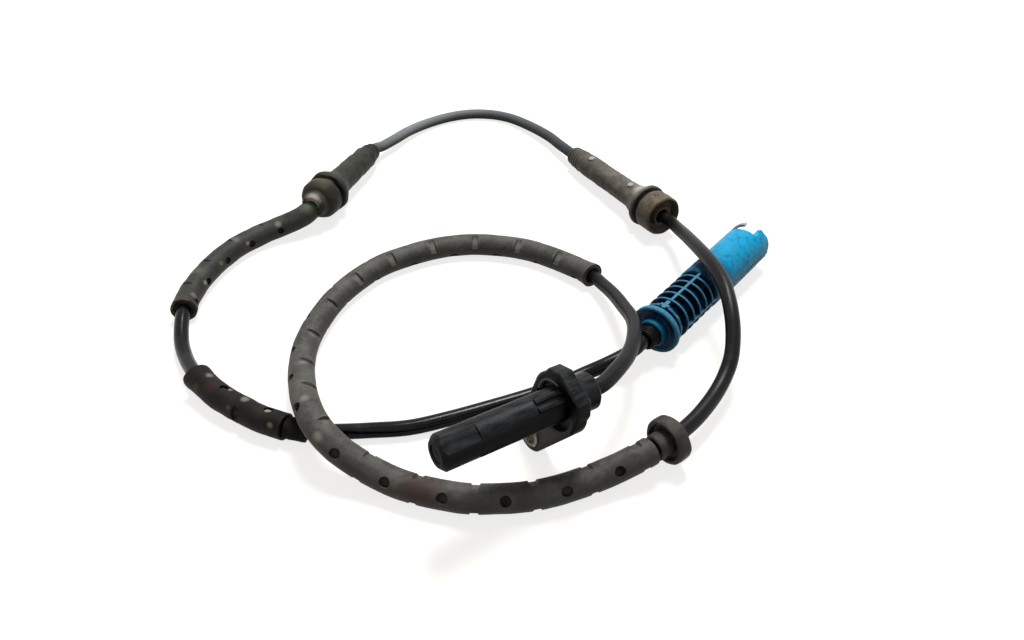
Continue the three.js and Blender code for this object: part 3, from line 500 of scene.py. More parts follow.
# The left grommet's body reaches further over its sleeve than the solid does
leftReach = 64.0
# In both tint lists the narrow dark band paints shade in the grommet's groove
rightZones = {"frame": rightFrame, "length": rightLength,
              "stops": [(0.0, "#f4e2cd"), (0.11, "#e6d9c6"), (0.125, "#4c4a48"), (0.145, "#4c4a48"),
                        (0.16, "#f2f2ee"), (0.3, "#fbfbf7"), (0.45, "#e2e2de"), (0.8, "#cbc9c4"), (1.0, "#a8a6a2")]}
leftZones = {"frame": leftFrame, "length": leftReach,
             "stops": [(0.0, "#4d4d4d"), (0.125, "#565656"), (0.14, "#dfe3de"), (0.67, "#e9ede6"),
                       (0.76, "#e4e6de"), (0.775, "#3c3b39"), (0.81, "#3c3b39"), (0.825, "#c2bba6"),
                       (0.92, "#d9cdb4"), (1.0, "#fff6ea")]}
sleeveRubber = weatheredRubber("epdmSleeveRubber", sleeveLook, longSpots)
leftSleeveRubber = weatheredRubber("epdmLeftSleeveRubber", leftSleeveLook, leftSpots)
lowSleeveRubber = weatheredRubber("epdmLowSleeveRubber", lowSleeveLook, lowSpots)
grommetRubber = weatheredRubber("epdmGrommetRubber", grommetLook, cupSpots + neckSpots, rightZones)
clipRubber = weatheredRubber("epdmClipRubber", clipLook)
leftRubber = weatheredRubber("epdmLeftGrommetRubber", leftLook, hubSpots, leftZones)
packedDirt = weatheredRubber("packedRoadDirt", dirtLook, dirtSpots)
# The next finish is the painted highlight on the head's recess rim
rimHighlight = weatheredRubber("paintedRimHighlight", rimHighlightLook)
nearBlackRubber = weatheredRubber("nearBlackSleeveRubber", nearBlackLook)


# Extruded polyurethane jacket: satin black, dull grey on its upper run, with fine low rings across it and a weaker
# reflection on its lower faces as painted shade
jacketLook = {"stops": [(0.0, "#090a0b"), (0.34, "#0b0c0d"), (0.48, "#101112"), (0.55, "#35383b"),
                        (0.62, "#6b6f72"), (0.655, "#85898b"), (0.7, "#4b4e51"), (0.79, "#050609"),
                        (0.9, "#030408"), (1.0, "#06070b")],
              "dull": [(0.0, 0.24), (0.48, 0.24), (0.58, 0.42), (0.7, 0.36), (0.79, 0.1), (1.0, 0.1)],
              "ringPitch": 0.8, "uneven": 0.24, "scuff": "#3a3c3e"}


def leadJacketFinish(look):
    finish, tree = startFinish("polyurethaneJacket")
    onTube = addNode(tree, "ShaderNodeTexCoord").outputs["UV"]
    run = addNode(tree, "ShaderNodeSeparateXYZ", links={0: onTube}).outputs["Y"]
    share = sums(tree, "MULTIPLY", run, 10 / leadLength)
    scuffs = patches(tree, onObject(tree), 3.5, 6, 0.65)
    scuffed = spread(tree, scuffs, 0.52, 0.8, top=0.35)
    colour = mixIn(tree, tones(tree, look["stops"], share), scuffed, look["scuff"])
    curve = addNode(tree, "ShaderNodeFloatCurve", links={"Value": share})
    bends = curve.mapping.curves[0].points
    for place, value in look["dull"][1:-1]:
        bends.new(place, value)
    for bend, (place, value) in zip(bends, look["dull"]):
        bend.location = (place, value)
        bend.handle_type = "VECTOR"
    curve.mapping.update()
    dull = curve.outputs[0]
    roughness = sums(tree, "MULTIPLY_ADD", scuffs, look["uneven"], dull)
    rings = sums(tree, "SINE", sums(tree, "MULTIPLY", run, 2 * math.pi * 10 / look["ringPitch"]))
    rings = sums(tree, "MULTIPLY", rings, sums(tree, "SUBTRACT", dull, 0.1))
    height = sums(tree, "MULTIPLY_ADD", rings, 0.8, scuffs)
    # Faces turned down reflect less than faces turned up: painted shade
    closeFinish(tree, colour, roughness, height, 0.05 * mm, spread(tree, upward(tree), -0.3, 0.7, 0.02, 0.17))
    return finish


leadJacket = leadJacketFinish(jacketLook)


# Glass-filled nylon, injection moulded: near-black satin with a fine grain and scuffs; upper faces are painted paler
# as painted light, and lower faces reflect less as painted shade
# The upper colour, and how much of it, is painted light on faces turned up
nylonLook = {"dark": "#020203", "light": "#090a0b", "scuff": "#282b2e", "upper": "#323538", "paintedTopLightMost": 0.85,
             "rough": 0.38, "gloss": 0.12}
plainLook = dict(nylonLook, paintedTopLightMost=0)


def mouldedNylon(name, look):
    finish, tree = startFinish(name)
    place = onObject(tree)
    alongNose = {"Rotation": (0, math.radians(-headPlace["tilt"]), 0), "Scale": (0.25, 1, 1)}
    turned = made(tree, "ShaderNodeMapping", values=alongNose, links={"Vector": place})
    streaks = patches(tree, turned, 1.6, 6, 0.65)
    colour = tones(tree, [(0.35, look["dark"]), (0.68, look["light"])], streaks)
    grain = patches(tree, place, 0.35, 3, 0.6)
    colour = mixIn(tree, colour, spread(tree, streaks, 0.62, 0.78, top=0.55), look["scuff"])
    # Painted light: faces turned up are painted paler, and faces turned down get a weaker reflection as painted shade
    up = upward(tree)
    upper = spread(tree, up, 0.35, top=look["paintedTopLightMost"])
    colour = mixIn(tree, colour, sums(tree, "MULTIPLY", upper, spread(tree, streaks, 0.4, 0.62)), look["upper"])
    roughness = spread(tree, streaks, bottom=look["rough"] - 0.14, top=look["rough"] + 0.18)
    gloss = spread(tree, up, -0.2, 0.7, look["gloss"] * 0.25, look["gloss"])
    closeFinish(tree, colour, roughness, sums(tree, "ADD", grain, streaks), 0.05 * mm, gloss)
    return finish


headNylon = mouldedNylon("glassFilledNylon", nylonLook)
# Boot rubber: the same satin black, a touch softer
bootRubber = mouldedNylon("bootRubber", dict(nylonLook, dark="#050506", light="#0b0c0d", scuff="#2c2e31",
                          rough=0.4))
# Rubbed polyester: the blue worn to a pale grey-blue on raised rails, with their upper faces painted paler still as
# painted light
rubbedPolyester = mouldedNylon("rubbedPolyester", dict(nylonLook, dark="#4f8ea6", light="#86b3c2",
                               scuff="#c2d2d4", upper="#a9c8d0", paintedTopLightMost=0.6))
# Inner mouldings and insulation: plain satin colours with a little scuffing
insertNylon = mouldedNylon("insertNylon", dict(plainLook, dark="#12151b", light="#232830", scuff="#39414d"))
epoxy = mouldedNylon("mouldedEpoxy", dict(plainLook, dark="#101112", light="#1d1e20", scuff="#3a3b3d", rough=0.5))
naturalNylon = mouldedNylon("naturalNylon", dict(plainLook, dark="#7d7b71", light="#9a978b", scuff="#b5b2a6"))
blueInsulation = mouldedNylon("blueCoreInsulation", dict(plainLook, dark="#1f4a82", light="#2f66ab",
                              scuff="#5b84b8", rough=0.34))
blackInsulation = mouldedNylon("blackCoreInsulation", dict(plainLook, dark="#111214", light="#212326",
                               scuff="#3a3c40", rough=0.34))
siliconeSeal = mouldedNylon("siliconeSeal", dict(plainLook, dark="#8a4f26", light="#a8663a", scuff="#c08a5e",
                            rough=0.5))

# PBT polyester, injection moulded: bright blue, faded and scratched on the skirt; grimed near-black navy between the
# fins, darkened there as painted shade, with painted highlights on the fin rims and a painted shadow of the lead on
# the skirt's near end
# In the zones the near-black navy between the fins is painted shade over the grime, and the dark navy where the skirt
# starts is a painted shadow of the lead arching over it
plugLook = {"zones": [(0.0, "#0f6a8c"), (0.028, "#0f6a8c"), (0.036, "#062f4e"), (0.07, "#040f24"),
                      (0.43, "#030818"), (0.46, "#051a40"), (0.53, "#07306a"), (0.60, "#009ccc"), (1.0, "#00b2e4")],
            "edge": "#4f9fc0", "fade": "#3fa3c8", "grime": "#0a5a92", "length": 80.0, "start": 3.0,
            "finsTo": 30.8, "skirtFrom": 31, "finHighlightBand": (7.9, 8.25), "paleSideBand": (3.2, 8.6), "rim": (72.5, 75)}


def plugPolyester(look):
    finish, tree = startFinish("pbtPolyester")
    place = onObject(tree)
    frameNow = {"Location": Vector(plugPlace["origin"]) * mm,
                "Rotation": (0, 0, math.radians(plugPlace["heading"]))}
    onAxis = made(tree, "ShaderNodeMapping", {"vector_type": "TEXTURE"}, frameNow, {"Vector": place})
    parts = addNode(tree, "ShaderNodeSeparateXYZ", links={0: onAxis}).outputs
    share = spread(tree, parts["X"], -look["start"] * mm, (look["length"] - look["start"]) * mm)
    colour = tones(tree, look["zones"], share)
    across = made(tree, "ShaderNodeCombineXYZ", links={"Y": parts["Y"], "Z": parts["Z"]})
    radius = addNode(tree, "ShaderNodeVectorMath", {"operation": "LENGTH"}, links={0: across}).outputs["Value"]
    rough = patches(tree, place, 2.4, 7, 0.68)
    wide = patches(tree, place, 7, 4, 0.6)
    # Fin and disc edges are painted pale: a painted highlight
    onFins = sums(tree, "LESS_THAN", parts["X"], look["finsTo"] * mm)
    finHighlightBand = spread(tree, radius, look["finHighlightBand"][0] * mm, look["finHighlightBand"][1] * mm, top=0.95)
    edge = sums(tree, "MULTIPLY", onFins, finHighlightBand)
    edge = sums(tree, "MULTIPLY", edge, spread(tree, rough, 0.3, 0.62, 0.45))
    colour = mixIn(tree, colour, edge, look["edge"])
    # Grime in patches, and a paler grey-blue on one side of the skirt, on the rim and in blotches on the skirt
    colour = mixIn(tree, colour, spread(tree, rough, 0.48, 0.7, top=0.9), look["grime"])
    onSkirt = sums(tree, "GREATER_THAN", parts["X"], look["skirtFrom"] * mm)
    side = spread(tree, parts["Y"], look["paleSideBand"][0] * mm, look["paleSideBand"][1] * mm)
    rim = spread(tree, parts["X"], look["rim"][0] * mm, look["rim"][1] * mm, top=0.7)
    faded = sums(tree, "MAXIMUM", sums(tree, "MULTIPLY", side, onSkirt), rim)
    blotch = sums(tree, "MULTIPLY", spread(tree, wide, 0.4, 0.68), 0.28)
    faded = sums(tree, "MAXIMUM", sums(tree, "MULTIPLY", faded, 0.75), sums(tree, "MULTIPLY", blotch, onSkirt))
    colour = mixIn(tree, colour, faded, look["fade"])
    roughness = spread(tree, rough, bottom=0.3, top=0.65)
    closeFinish(tree, colour, roughness, sums(tree, "ADD", rough, wide), 0.06 * mm, 0.16)
    return finish


plugBlue = plugPolyester(plugLook)


# Metals, turned or pressed: bright and dull spots side by side, half rough, so that they glint without mirroring
def platedMetal(name, bright, dull, rough):
    finish, tree = startFinish(name)
    spots = patches(tree, onObject(tree), 1.2, 6, 0.7)
    roughness = spread(tree, spots, bottom=rough - 0.1, top=rough + 0.2)
    closeFinish(tree, tones(tree, [(0.35, dull), (0.6, bright)], spots), roughness, spots, 0.03 * mm, metal=1.0)
    return finish


grimySteel = platedMetal("zincPlatedSteel", "#8d887b", "#1b1917", 0.5)
tinnedCopper = platedMetal("tinnedCopper", "#c3c6ca", "#8f9296", 0.32)
pressedBrass = platedMetal("pressedBrass", "#c9a75e", "#8d7238", 0.34)
groundMagnet = platedMetal("groundMagnet", "#85888c", "#55585c", 0.38)
# The plug's plastic rim sliver gets this metal finish: a painted glint over its rubbed pale
paleEdge = platedMetal("rubbedRimWithGlint", "#b9bcc4", "#7f8793", 0.5)
print("materials are made")


# Lead
leadSize = {"diameter": 5.2, "sides": 20, "step": 1.3, "unevenness": 0.05, "lumpPitch": 9}


def leadRadius(s, angle):
    lump = noise.noise(Vector((s / leadSize["lumpPitch"], math.sin(angle), math.cos(angle))))
    return leadSize["diameter"] / 2 + leadSize["unevenness"] * lump


leadMesh = tubeMesh("leadCable", 0, leadLength, leadSize["step"], leadSize["sides"], leadRadius)
lead = pieceOn("leadCable", leadMesh, leadJacket, "lead_rubber", "lead_cable")
print("lead is laid")


# Geometry Nodes trees: the inputs are given as kind of socket and names
def startTree(name, inputs, result):
    tree = bpy.data.node_groups.new(name, "GeometryNodeTree")
    for kind, names in inputs.items():
        for each in names:
            tree.interface.new_socket(each, in_out="INPUT", socket_type="NodeSocket" + kind)
    tree.interface.new_socket(result, in_out="OUTPUT", socket_type="NodeSocketGeometry")
    return tree, addNode(tree, "NodeGroupInput").outputs


def closeTree(tree, geometry, finish):
    geometry = made(tree, "GeometryNodeRealizeInstances", links={0: geometry})
    geometry = made(tree, "GeometryNodeSetMaterial", links={0: geometry, "Material": finish})
    addNode(tree, "NodeGroupOutput", links={0: geometry})
    return tree


def runTree(source, tree, values, name):
    modifier = source.modifiers.new("shape", "NODES")
    modifier.node_group = tree
    for item in tree.interface.items_tree:
        if item.in_out == "INPUT" and item.name in values:
            modifier[item.identifier] = values[item.name]
    return finishedMesh(source, name)


# Perforated sleeves: a tree that sweeps a hose along a line and punches rows of holes through it
toolSize = {"punchDepth": 5, "punchOut": 1.3, "sawDepth": 3, "sawWidth": 9, "sides": 32}


def sleeveTree():
    sizes = ["outerRadius", "wall", "holeRadius", "notchWidth", "notchFloor", "pitch", "drift", "firstHole",
             "rowAngle", "lipLength", "lipRise", "lipAtStart", "lipAtEnd", "lumpHeight", "lumpSize"]
    tree, given = startTree("perforatedSleeve", {"Geometry": ["line"], "Float": sizes,
                            "Int": ["holeCount", "notchCount", "seed"], "Material": ["finish"]}, "sleeve")
    curve = made(tree, "GeometryNodeMeshToCurve", links={0: given["line"]})
    curve = made(tree, "GeometryNodeSetCurveNormal", {"mode": "Z_UP"}, links={0: curve})
    total = made(tree, "GeometryNodeCurveLength", links={0: curve})
    # The line is 1 mm longer than the hose at each end, so that the bore goes right through
    stop = sums(tree, "SUBTRACT", total, 1 * mm)
    outer = made(tree, "GeometryNodeTrimCurve", {"mode": "LENGTH"}, {4: 1 * mm}, {0: curve, 5: stop})
    along = addNode(tree, "GeometryNodeSplineParameter").outputs["Length"]
    left = sums(tree, "SUBTRACT", sums(tree, "SUBTRACT", total, 2 * mm), along)
    rises = []
    for distance, wanted in ((along, "lipAtStart"), (left, "lipAtEnd")):
        near = made(tree, "ShaderNodeMapRange", {"interpolation_type": "SMOOTHSTEP"}, {"To Min": 1.0, "To Max": 0.0},
                    {"Value": distance, "From Max": given["lipLength"]})
        rises.append(sums(tree, "MULTIPLY", near, given[wanted]))
    scale = sums(tree, "MULTIPLY_ADD", sums(tree, "ADD", *rises), given["lipRise"], 1.0)
    innerRadius = sums(tree, "SUBTRACT", given["outerRadius"], given["wall"])
    sides = {0: toolSize["sides"]}
    outerRound = made(tree, "GeometryNodeCurvePrimitiveCircle", values=sides, links={4: given["outerRadius"]})
    innerRound = made(tree, "GeometryNodeCurvePrimitiveCircle", values=sides, links={4: innerRadius})
    outside = made(tree, "GeometryNodeCurveToMesh", values={3: True}, links={0: outer, 1: outerRound, 2: scale})
    inside = made(tree, "GeometryNodeCurveToMesh", values={3: True}, links={0: curve, 1: innerRound})
    # One slightly tapered punch, pointing out along X
    punchTop = sums(tree, "MULTIPLY", given["holeRadius"], 1.12)
    punchFoot = sums(tree, "MULTIPLY", given["holeRadius"], 0.86)
    punch = made(tree, "GeometryNodeMeshCone", values={"Vertices": 20, "Depth": toolSize["punchDepth"] * mm},
                 links={"Radius Top": punchTop, "Radius Bottom": punchFoot})
    out = {1: (toolSize["punchOut"] * mm, 0, 0), 2: (0, math.pi / 2, 0)}
    punch = made(tree, "GeometryNodeTransform", values=out, links={0: punch})
    # One flat-bottomed saw cut, wider at its mouth
    blockSize = {"X": toolSize["sawDepth"] * mm, "Y": toolSize["sawWidth"] * mm}
    block = made(tree, "ShaderNodeCombineXYZ", values=blockSize, links={"Z": given["notchWidth"]})
    saw = made(tree, "GeometryNodeMeshCube", links={"Size": block})
    corner = addNode(tree, "ShaderNodeSeparateXYZ", links={0: made(tree, "GeometryNodeInputPosition")}).outputs
    wider = sums(tree, "MULTIPLY", sums(tree, "MULTIPLY_ADD", corner["X"], 300, 1.45), corner["Z"])
    wider = made(tree, "ShaderNodeCombineXYZ", links={"X": corner["X"], "Y": corner["Y"], "Z": wider})
    saw = made(tree, "GeometryNodeSetPosition", links={0: saw, "Position": wider})
    sawOut = sums(tree, "ADD", given["notchFloor"], toolSize["sawDepth"] / 2 * mm)
    sawOut = made(tree, "ShaderNodeCombineXYZ", links={"X": sawOut})
    saw = made(tree, "GeometryNodeTransform", links={0: saw, 1: sawOut})
    # Four rows: round holes on two sides, saw cuts half a pitch further on the other two
    index = made(tree, "GeometryNodeInputIndex")
    punches = []
    for row in range(4):
        tool, count = (saw, given["notchCount"]) if row % 2 else (punch, given["holeCount"])
        step = sums(tree, "ADD", index, 0.5 * (row % 2))
        distance = sums(tree, "MULTIPLY_ADD", step, given["pitch"], given["firstHole"])
        closer = sums(tree, "MULTIPLY", sums(tree, "MULTIPLY", step, step), given["drift"])
        distance = sums(tree, "SUBTRACT", distance, closer)
        spot = addNode(tree, "GeometryNodeSampleCurve", {"mode": "LENGTH"},
                       links={"Curves": curve, "Length": distance}).outputs
        holes = made(tree, "GeometryNodePoints", links={"Count": count, "Position": spot["Position"]})
        facing = made(tree, "FunctionNodeAxesToRotation", {"primary_axis": "Z", "secondary_axis": "X"},
                      links={0: spot["Tangent"], 1: spot["Normal"]})
        angle = sums(tree, "ADD", given["rowAngle"], (row - 1) * math.pi / 2)
        turn = made(tree, "FunctionNodeAxisAngleToRotation", values={0: (0, 0, 1)}, links={1: angle})
        facing = made(tree, "FunctionNodeRotateRotation", {"rotation_space": "LOCAL"}, links={0: facing, 1: turn})
        placed = made(tree, "GeometryNodeInstanceOnPoints",
                      links={"Points": holes, "Instance": tool, "Rotation": facing})
        punches.append(made(tree, "GeometryNodeRealizeInstances", links={0: placed}))
    cut = made(tree, "GeometryNodeMeshBoolean", {"operation": "DIFFERENCE", "solver": "MANIFOLD"},
               links={0: outside, 1: [inside] + punches})
    # Worn rubber isn't even: low lumps all over
    lumps = made(tree, "ShaderNodeTexNoise", {"noise_dimensions": "4D"}, {"Detail": 3.0},
                 {"W": given["seed"], "Scale": given["lumpSize"]})
    lumps = sums(tree, "MULTIPLY", sums(tree, "SUBTRACT", lumps, 0.5), given["lumpHeight"])
    push = made(tree, "ShaderNodeVectorMath", {"operation": "SCALE"},
                links={0: made(tree, "GeometryNodeInputNormal"), "Scale": lumps})
    cut = made(tree, "GeometryNodeSetPosition", links={0: cut, "Offset": push})
    cut = made(tree, "GeometryNodeSetShadeSmooth", {"domain": "FACE"}, {2: True}, {0: cut})
    bend = made(tree, "GeometryNodeInputMeshEdgeAngle")
    sharp = made(tree, "FunctionNodeCompare", {"operation": "GREATER_THAN"}, {1: 0.65}, {0: bend})
    cut = made(tree, "GeometryNodeSetShadeSmooth", {"domain": "EDGE"}, {2: False}, {0: cut, 1: sharp})
    return closeTree(tree, cut, given["finish"])


def leadStretch(start, end, step=1.6):
    count = round((end - start) / step)
    points = [leadPoint(start + (end - start) * i / count) * mm for i in range(count + 1)]
    mesh = bpy.data.meshes.new("stretch")
    mesh.from_pydata(points, [(i, i + 1) for i in range(count)], [])
    return keepMesh("stretch", mesh)


def tearEnd(mesh, s, reach=6.0, most=1.5, pitch=2.6):
    # The rubber is torn and swollen near one end
    middle = leadPoint(s) * mm
    for vertex in mesh.vertices:
        near = 1 - (vertex.co - middle).length / (reach * mm)
        if near > 0:
            vertex.co += noise.noise_vector(vertex.co / (pitch * mm)) * near * most * mm


# The noise of the torn ends starts from this number, so that each run gives the same shape
tornSeed = 4
noise.seed_set(tornSeed)
hoseTree = sleeveTree()
sleeveSize = {"outerRadius": 4.5, "wall": 1.15, "holeRadius": 1.75, "notchWidth": 2.3, "notchFloor": 3.42, "drift": 0,
              "lipLength": 4.5, "lipRise": 0.08, "lipAtStart": 0, "lipAtEnd": 0, "lumpHeight": 0.35, "lumpPitch": 4.5,
              "filling": 3.2, "torn": None}
sleeves = {
    "longSleeve": dict(sleeveSize, node="long_sleeve", start=longRows["start"], end=418.9, rowAngle=50,
                       firstHole=longRows["first"], pitch=longRows["pitch"], drift=longRows["drift"], holeCount=17,
                       notchCount=17, lipAtStart=1, lipRise=0.1, seed=3, finish=sleeveRubber),
    "leftSleeve": dict(sleeveSize, node="left_sleeve", start=863.5, end=946.5, wall=0.8, rowAngle=-82, pitch=15.5,
                       firstHole=17.5, holeCount=5, notchCount=4, holeRadius=1.45, notchFloor=3.95, lipAtEnd=1,
                       lumpHeight=0.7, seed=8, finish=leftSleeveRubber, filling=3.62, torn=946.5),
    "lowSleeve": dict(sleeveSize, node="low_sleeve", start=987.8, end=1029.6, wall=0.8, rowAngle=-20, pitch=20,
                      firstHole=15.2, holeCount=2, notchCount=1, holeRadius=1.5, lipAtStart=1, lumpHeight=0.7,
                      seed=5, finish=lowSleeveRubber, filling=3.62, torn=987.8),
}
for name, size in sleeves.items():
    values = {key: size[key] * mm for key in ("outerRadius", "wall", "holeRadius", "notchWidth", "notchFloor",
                                              "pitch", "drift", "lipLength", "lumpHeight")}
    values.update({key: size[key] for key in ("holeCount", "notchCount", "seed", "lipRise", "finish")})
    values.update(firstHole=(size["firstHole"] + 1) * mm, rowAngle=math.radians(size["rowAngle"]),
                  lipAtStart=float(size["lipAtStart"]), lipAtEnd=float(size["lipAtEnd"]),
                  lumpSize=1 / (size["lumpPitch"] * mm))
    mesh = runTree(leadStretch(size["start"] - 1, size["end"] + 1), hoseTree, values, name)
    if size["torn"]:
        tearEnd(mesh, size["torn"])
    pieceOn(name, mesh, None, "sleeve_rubber", size["node"])
    print(name, len(mesh.polygons), "faces")


# Road dirt packed between the lead and the sleeves, which shows in the holes
dirtSize = {"lumps": 0.12, "lumpPitch": 2.5, "short": 0.3, "step": 1.6}


def fillingMesh(size):
    def radiusAt(s, angle):
        spot = Vector((s / dirtSize["lumpPitch"], 2 * math.sin(angle), 2 * math.cos(angle)))
        return size["filling"] + dirtSize["lumps"] * noise.noise(spot)
    start, end = size["start"] + dirtSize["short"], size["end"] - dirtSize["short"]
    return tubeMesh("filling", start, end, dirtSize["step"], 20, radiusAt)


fillings = [fillingMesh(size) for size in sleeves.values()]
packedFilling = keepMesh("packedFilling", joinedMesh("packedFilling", fillings), packedDirt)
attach(packedFilling, "root")


# Turned pieces: a closed profile of [along, radius] pairs, swept about X, with low lumps where it is rubber
def turnedMesh(name, profile, sides, place, lumps=0.0, lumpPitch=3.0, sharp=32):
    verts, faces = [], []
    count = len(profile)
    for j in range(sides):
        angle = 2 * math.pi * j / sides
        for x, r in profile:
            point = Vector((x, r * math.sin(angle), r * math.cos(angle)))
            if lumps:
                point += Vector((0, math.sin(angle), math.cos(angle))) * lumps * noise.noise(point / lumpPitch)
            verts.append((place @ point) * mm)
    for j in range(sides):
        k = (j + 1) % sides
        for i in range(count):
            n = (i + 1) % count
            faces.append((j * count + i, j * count + n, k * count + n, k * count + i))
    return cleaned(meshOf(name, verts, faces), sharp, nearest)


def finer(profile, longest=1.2):
    # The same closed profile with no side longer than a given length
    result = []
    for (xa, ra), (xb, rb) in zip(profile, profile[1:] + profile[:1]):
        pieces = max(1, math.ceil(math.hypot(xb - xa, rb - ra) / longest))
        result += [(xa + (xb - xa) * i / pieces, ra + (rb - ra) * i / pieces) for i in range(pieces)]
    return result


# Right grommet: cupped drum, groove, lip, flare and a long neck with a ridged tip
rightSize = {"neck": 5.4, "ridges": 4, "ridgePitch": 2.4, "ridgedLength": 10, "lumps": 0.3, "lumpPitch": 4.0}
ridges = []
for i in range(rightSize["ridges"]):
    x = rightLength - rightSize["ridgedLength"] + i * rightSize["ridgePitch"]
    r = rightSize["neck"] - 0.15 - i * 0.22
    ridges += [(x, r - 0.25), (x + 0.4, r), (x + 1.5, r - 0.05), (x + 1.9, r - 0.3)]
rightProfile = [(3.6, 3.0), (1.0, 3.1), (0.7, 3.5), (0.9, 4.1), (2.9, 4.6), (3.5, 5.4), (3.1, 6.4), (1.0, 7.6),
                (0.1, 7.9), (0.0, 8.2), (0.3, 8.55), (0.9, 8.75), (4.5, 8.85), (8.4, 8.7), (8.9, 8.4), (9.0, 7.3),
                (11.0, 7.2), (11.1, 8.8), (11.5, 9.25), (12.2, 9.4), (12.9, 9.25), (13.4, 8.9), (14.2, 8.4),
                (16.0, 7.4), (18.5, 6.6), (21.5, 5.9), (25.4, 5.45), (34, 5.4), (46, 5.4), (58, 5.45), (62, 5.35)]
rightProfile += ridges + [(73.6, 3.9), (74, 3.6), (74, 3.0)]
rightMeshes = [turnedMesh("rightGrommet", finer(rightProfile), 56, rightFrame, rightSize["lumps"],
                          rightSize["lumpPitch"])]
# Two round moulding marks on the neck and one on the drum: distance along, turn, radius, foot and top
for x, turn, radius, foot, top in ((56.2, 14, 1.7, 5.0, 5.9), (23.4, 16, 1.7, 5.2, 6.2), (5.2, 8, 1.3, 8.4, 9.15)):
    outwards = rightFrame @ Matrix.Translation((x, 0, 0)) @ Matrix.Rotation(math.radians(-turn), 4, "X")
    outwards = outwards @ Matrix.Rotation(math.radians(-90), 4, "Y")
    button = [(foot, 0), (foot, radius), (top - 0.2, radius), (top, radius - 0.3), (top, 0)]
    rightMeshes.append(turnedMesh("mark", button, 20, outwards))
rightMesh = joinedMesh("rightGrommet", rightMeshes)
shadeRound(rightMesh, 32)
rightGrommet = pieceOn("rightGrommet", rightMesh, grommetRubber, "grommet_rubber", "right_grommet")

# Left grommet: dark tip collar, tapered body, lip, groove, domed drum and hub
leftProfile = [(0, 3.0), (0, 3.6), (0.4, 4.0), (3.6, 4.35), (4.0, 4.7), (8.2, 5.3), (8.8, 5.5), (9.4, 5.3),
               (18, 5.6), (32, 5.7), (38, 6.0), (41, 6.7), (43.6, 7.8), (45.7, 8.7), (46.7, 9.2), (47.7, 9.4),
               (48.7, 9.3), (49.4, 8.9), (49.6, 8.0), (49.8, 7.3), (51.7, 7.3), (52.0, 8.4), (52.6, 8.8),
               (55.1, 8.8), (57.5, 8.5), (58.7, 7.8), (59.5, 6.9), (59.8, 6.2), (60.4, 5.9), (61.5, 5.8),
               (62.9, 5.5), (63.7, 5.0), (leftReach, 4.5), (leftReach, 3.0)]
leftGrommet = pieceOn("leftGrommet", turnedMesh("leftGrommet", finer(leftProfile), 56, leftFrame, 0.4, 4.0),
                      leftRubber, "left_rubber", "left_grommet")

# Clip grommet: hub into the sleeve, a cup that faces it, and a thick rounded disc
clipProfile = [(-6.4, 3.0), (-6.4, 3.8), (-6.0, 4.2), (-2.5, 4.3), (-1.0, 4.4), (-0.7, 5.0), (-0.8, 5.8),
               (-2.3, 6.2), (-2.5, 6.6), (-2.4, 7.2), (-1.8, 7.6), (-0.6, 7.75), (0.9, 7.75), (2.0, 7.55),
               (2.5, 7.0), (2.5, 5.2), (2.2, 4.6), (2.2, 3.6), (2.0, 3.0)]
clipReach = 9.2
clipFrame = frameOnto(onWay(clipEnds, clipReach), clipEnds[1])
clipGrommet = pieceOn("clipGrommet", turnedMesh("clipGrommet", finer(clipProfile, 0.9), 48, clipFrame, 0.3, 2.6),
                      clipRubber, "grommet_rubber", "clip_grommet")

# The narrow near-black end under the long sleeve
innerSize = {"start": 1030.3, "end": 1036.8, "step": 0.8, "radius": 3.7, "lumps": 0.12}


def innerRadius(s, angle):
    lump = noise.noise(Vector((s, 2 * math.sin(angle), 2 * math.cos(angle))))
    return innerSize["radius"] + innerSize["lumps"] * lump


innerMesh = tubeMesh("innerSleeve", innerSize["start"], innerSize["end"], innerSize["step"], 28, innerRadius)
innerSleeve = pieceOn("innerSleeve", innerMesh, nearBlackRubber, "stained_rubber", "inner_sleeve")
print("grommets are turned")


# Rings side by side along an axis, for the plug's fins and the ridges of its boot
def ringTree():
    sizes = ["ringRadius", "ringDepth", "ringThickness", "edgeRound", "first", "pitch"]
    tree, given = startTree("ringStack", {"Geometry": ["base"], "Int": ["count"], "Float": sizes,
                            "Material": ["finish"]}, "rings")
    section = made(tree, "GeometryNodeCurvePrimitiveQuadrilateral",
                   links={"Width": given["ringDepth"], "Height": given["ringThickness"]})
    section = made(tree, "GeometryNodeFilletCurve", {"mode": "POLY"}, {"Count": 3},
                   {"Curve": section, "Radius": given["edgeRound"]})
    circle = made(tree, "GeometryNodeCurvePrimitiveCircle", values={0: 80}, links={4: given["ringRadius"]})
    ring = made(tree, "GeometryNodeCurveToMesh", links={0: circle, 1: section})
    ring = made(tree, "GeometryNodeTransform", values={2: (0, math.pi / 2, 0)}, links={0: ring})
    start = made(tree, "ShaderNodeCombineXYZ", links={"X": given["first"]})
    step = made(tree, "ShaderNodeCombineXYZ", links={"X": given["pitch"]})
    spots = made(tree, "GeometryNodeMeshLine",
                 links={"Count": given["count"], "Start Location": start, "Offset": step})
    placed = made(tree, "GeometryNodeInstanceOnPoints", links={"Points": spots, "Instance": ring})
    return closeTree(tree, placed, given["finish"])


stackTree = ringTree()


def ringStack(name, values, finish, place):
    blank = keepMesh("blank", bpy.data.meshes.new("blank"))
    sizes = {key: value * mm for key, value in values.items() if key != "count"}
    mesh = runTree(blank, stackTree, dict(sizes, count=values["count"], finish=finish), name)
    mesh.transform(Matrix.Scale(mm, 4) @ place @ Matrix.Scale(1 / mm, 4))
    return cleaned(mesh, 40, nearest)


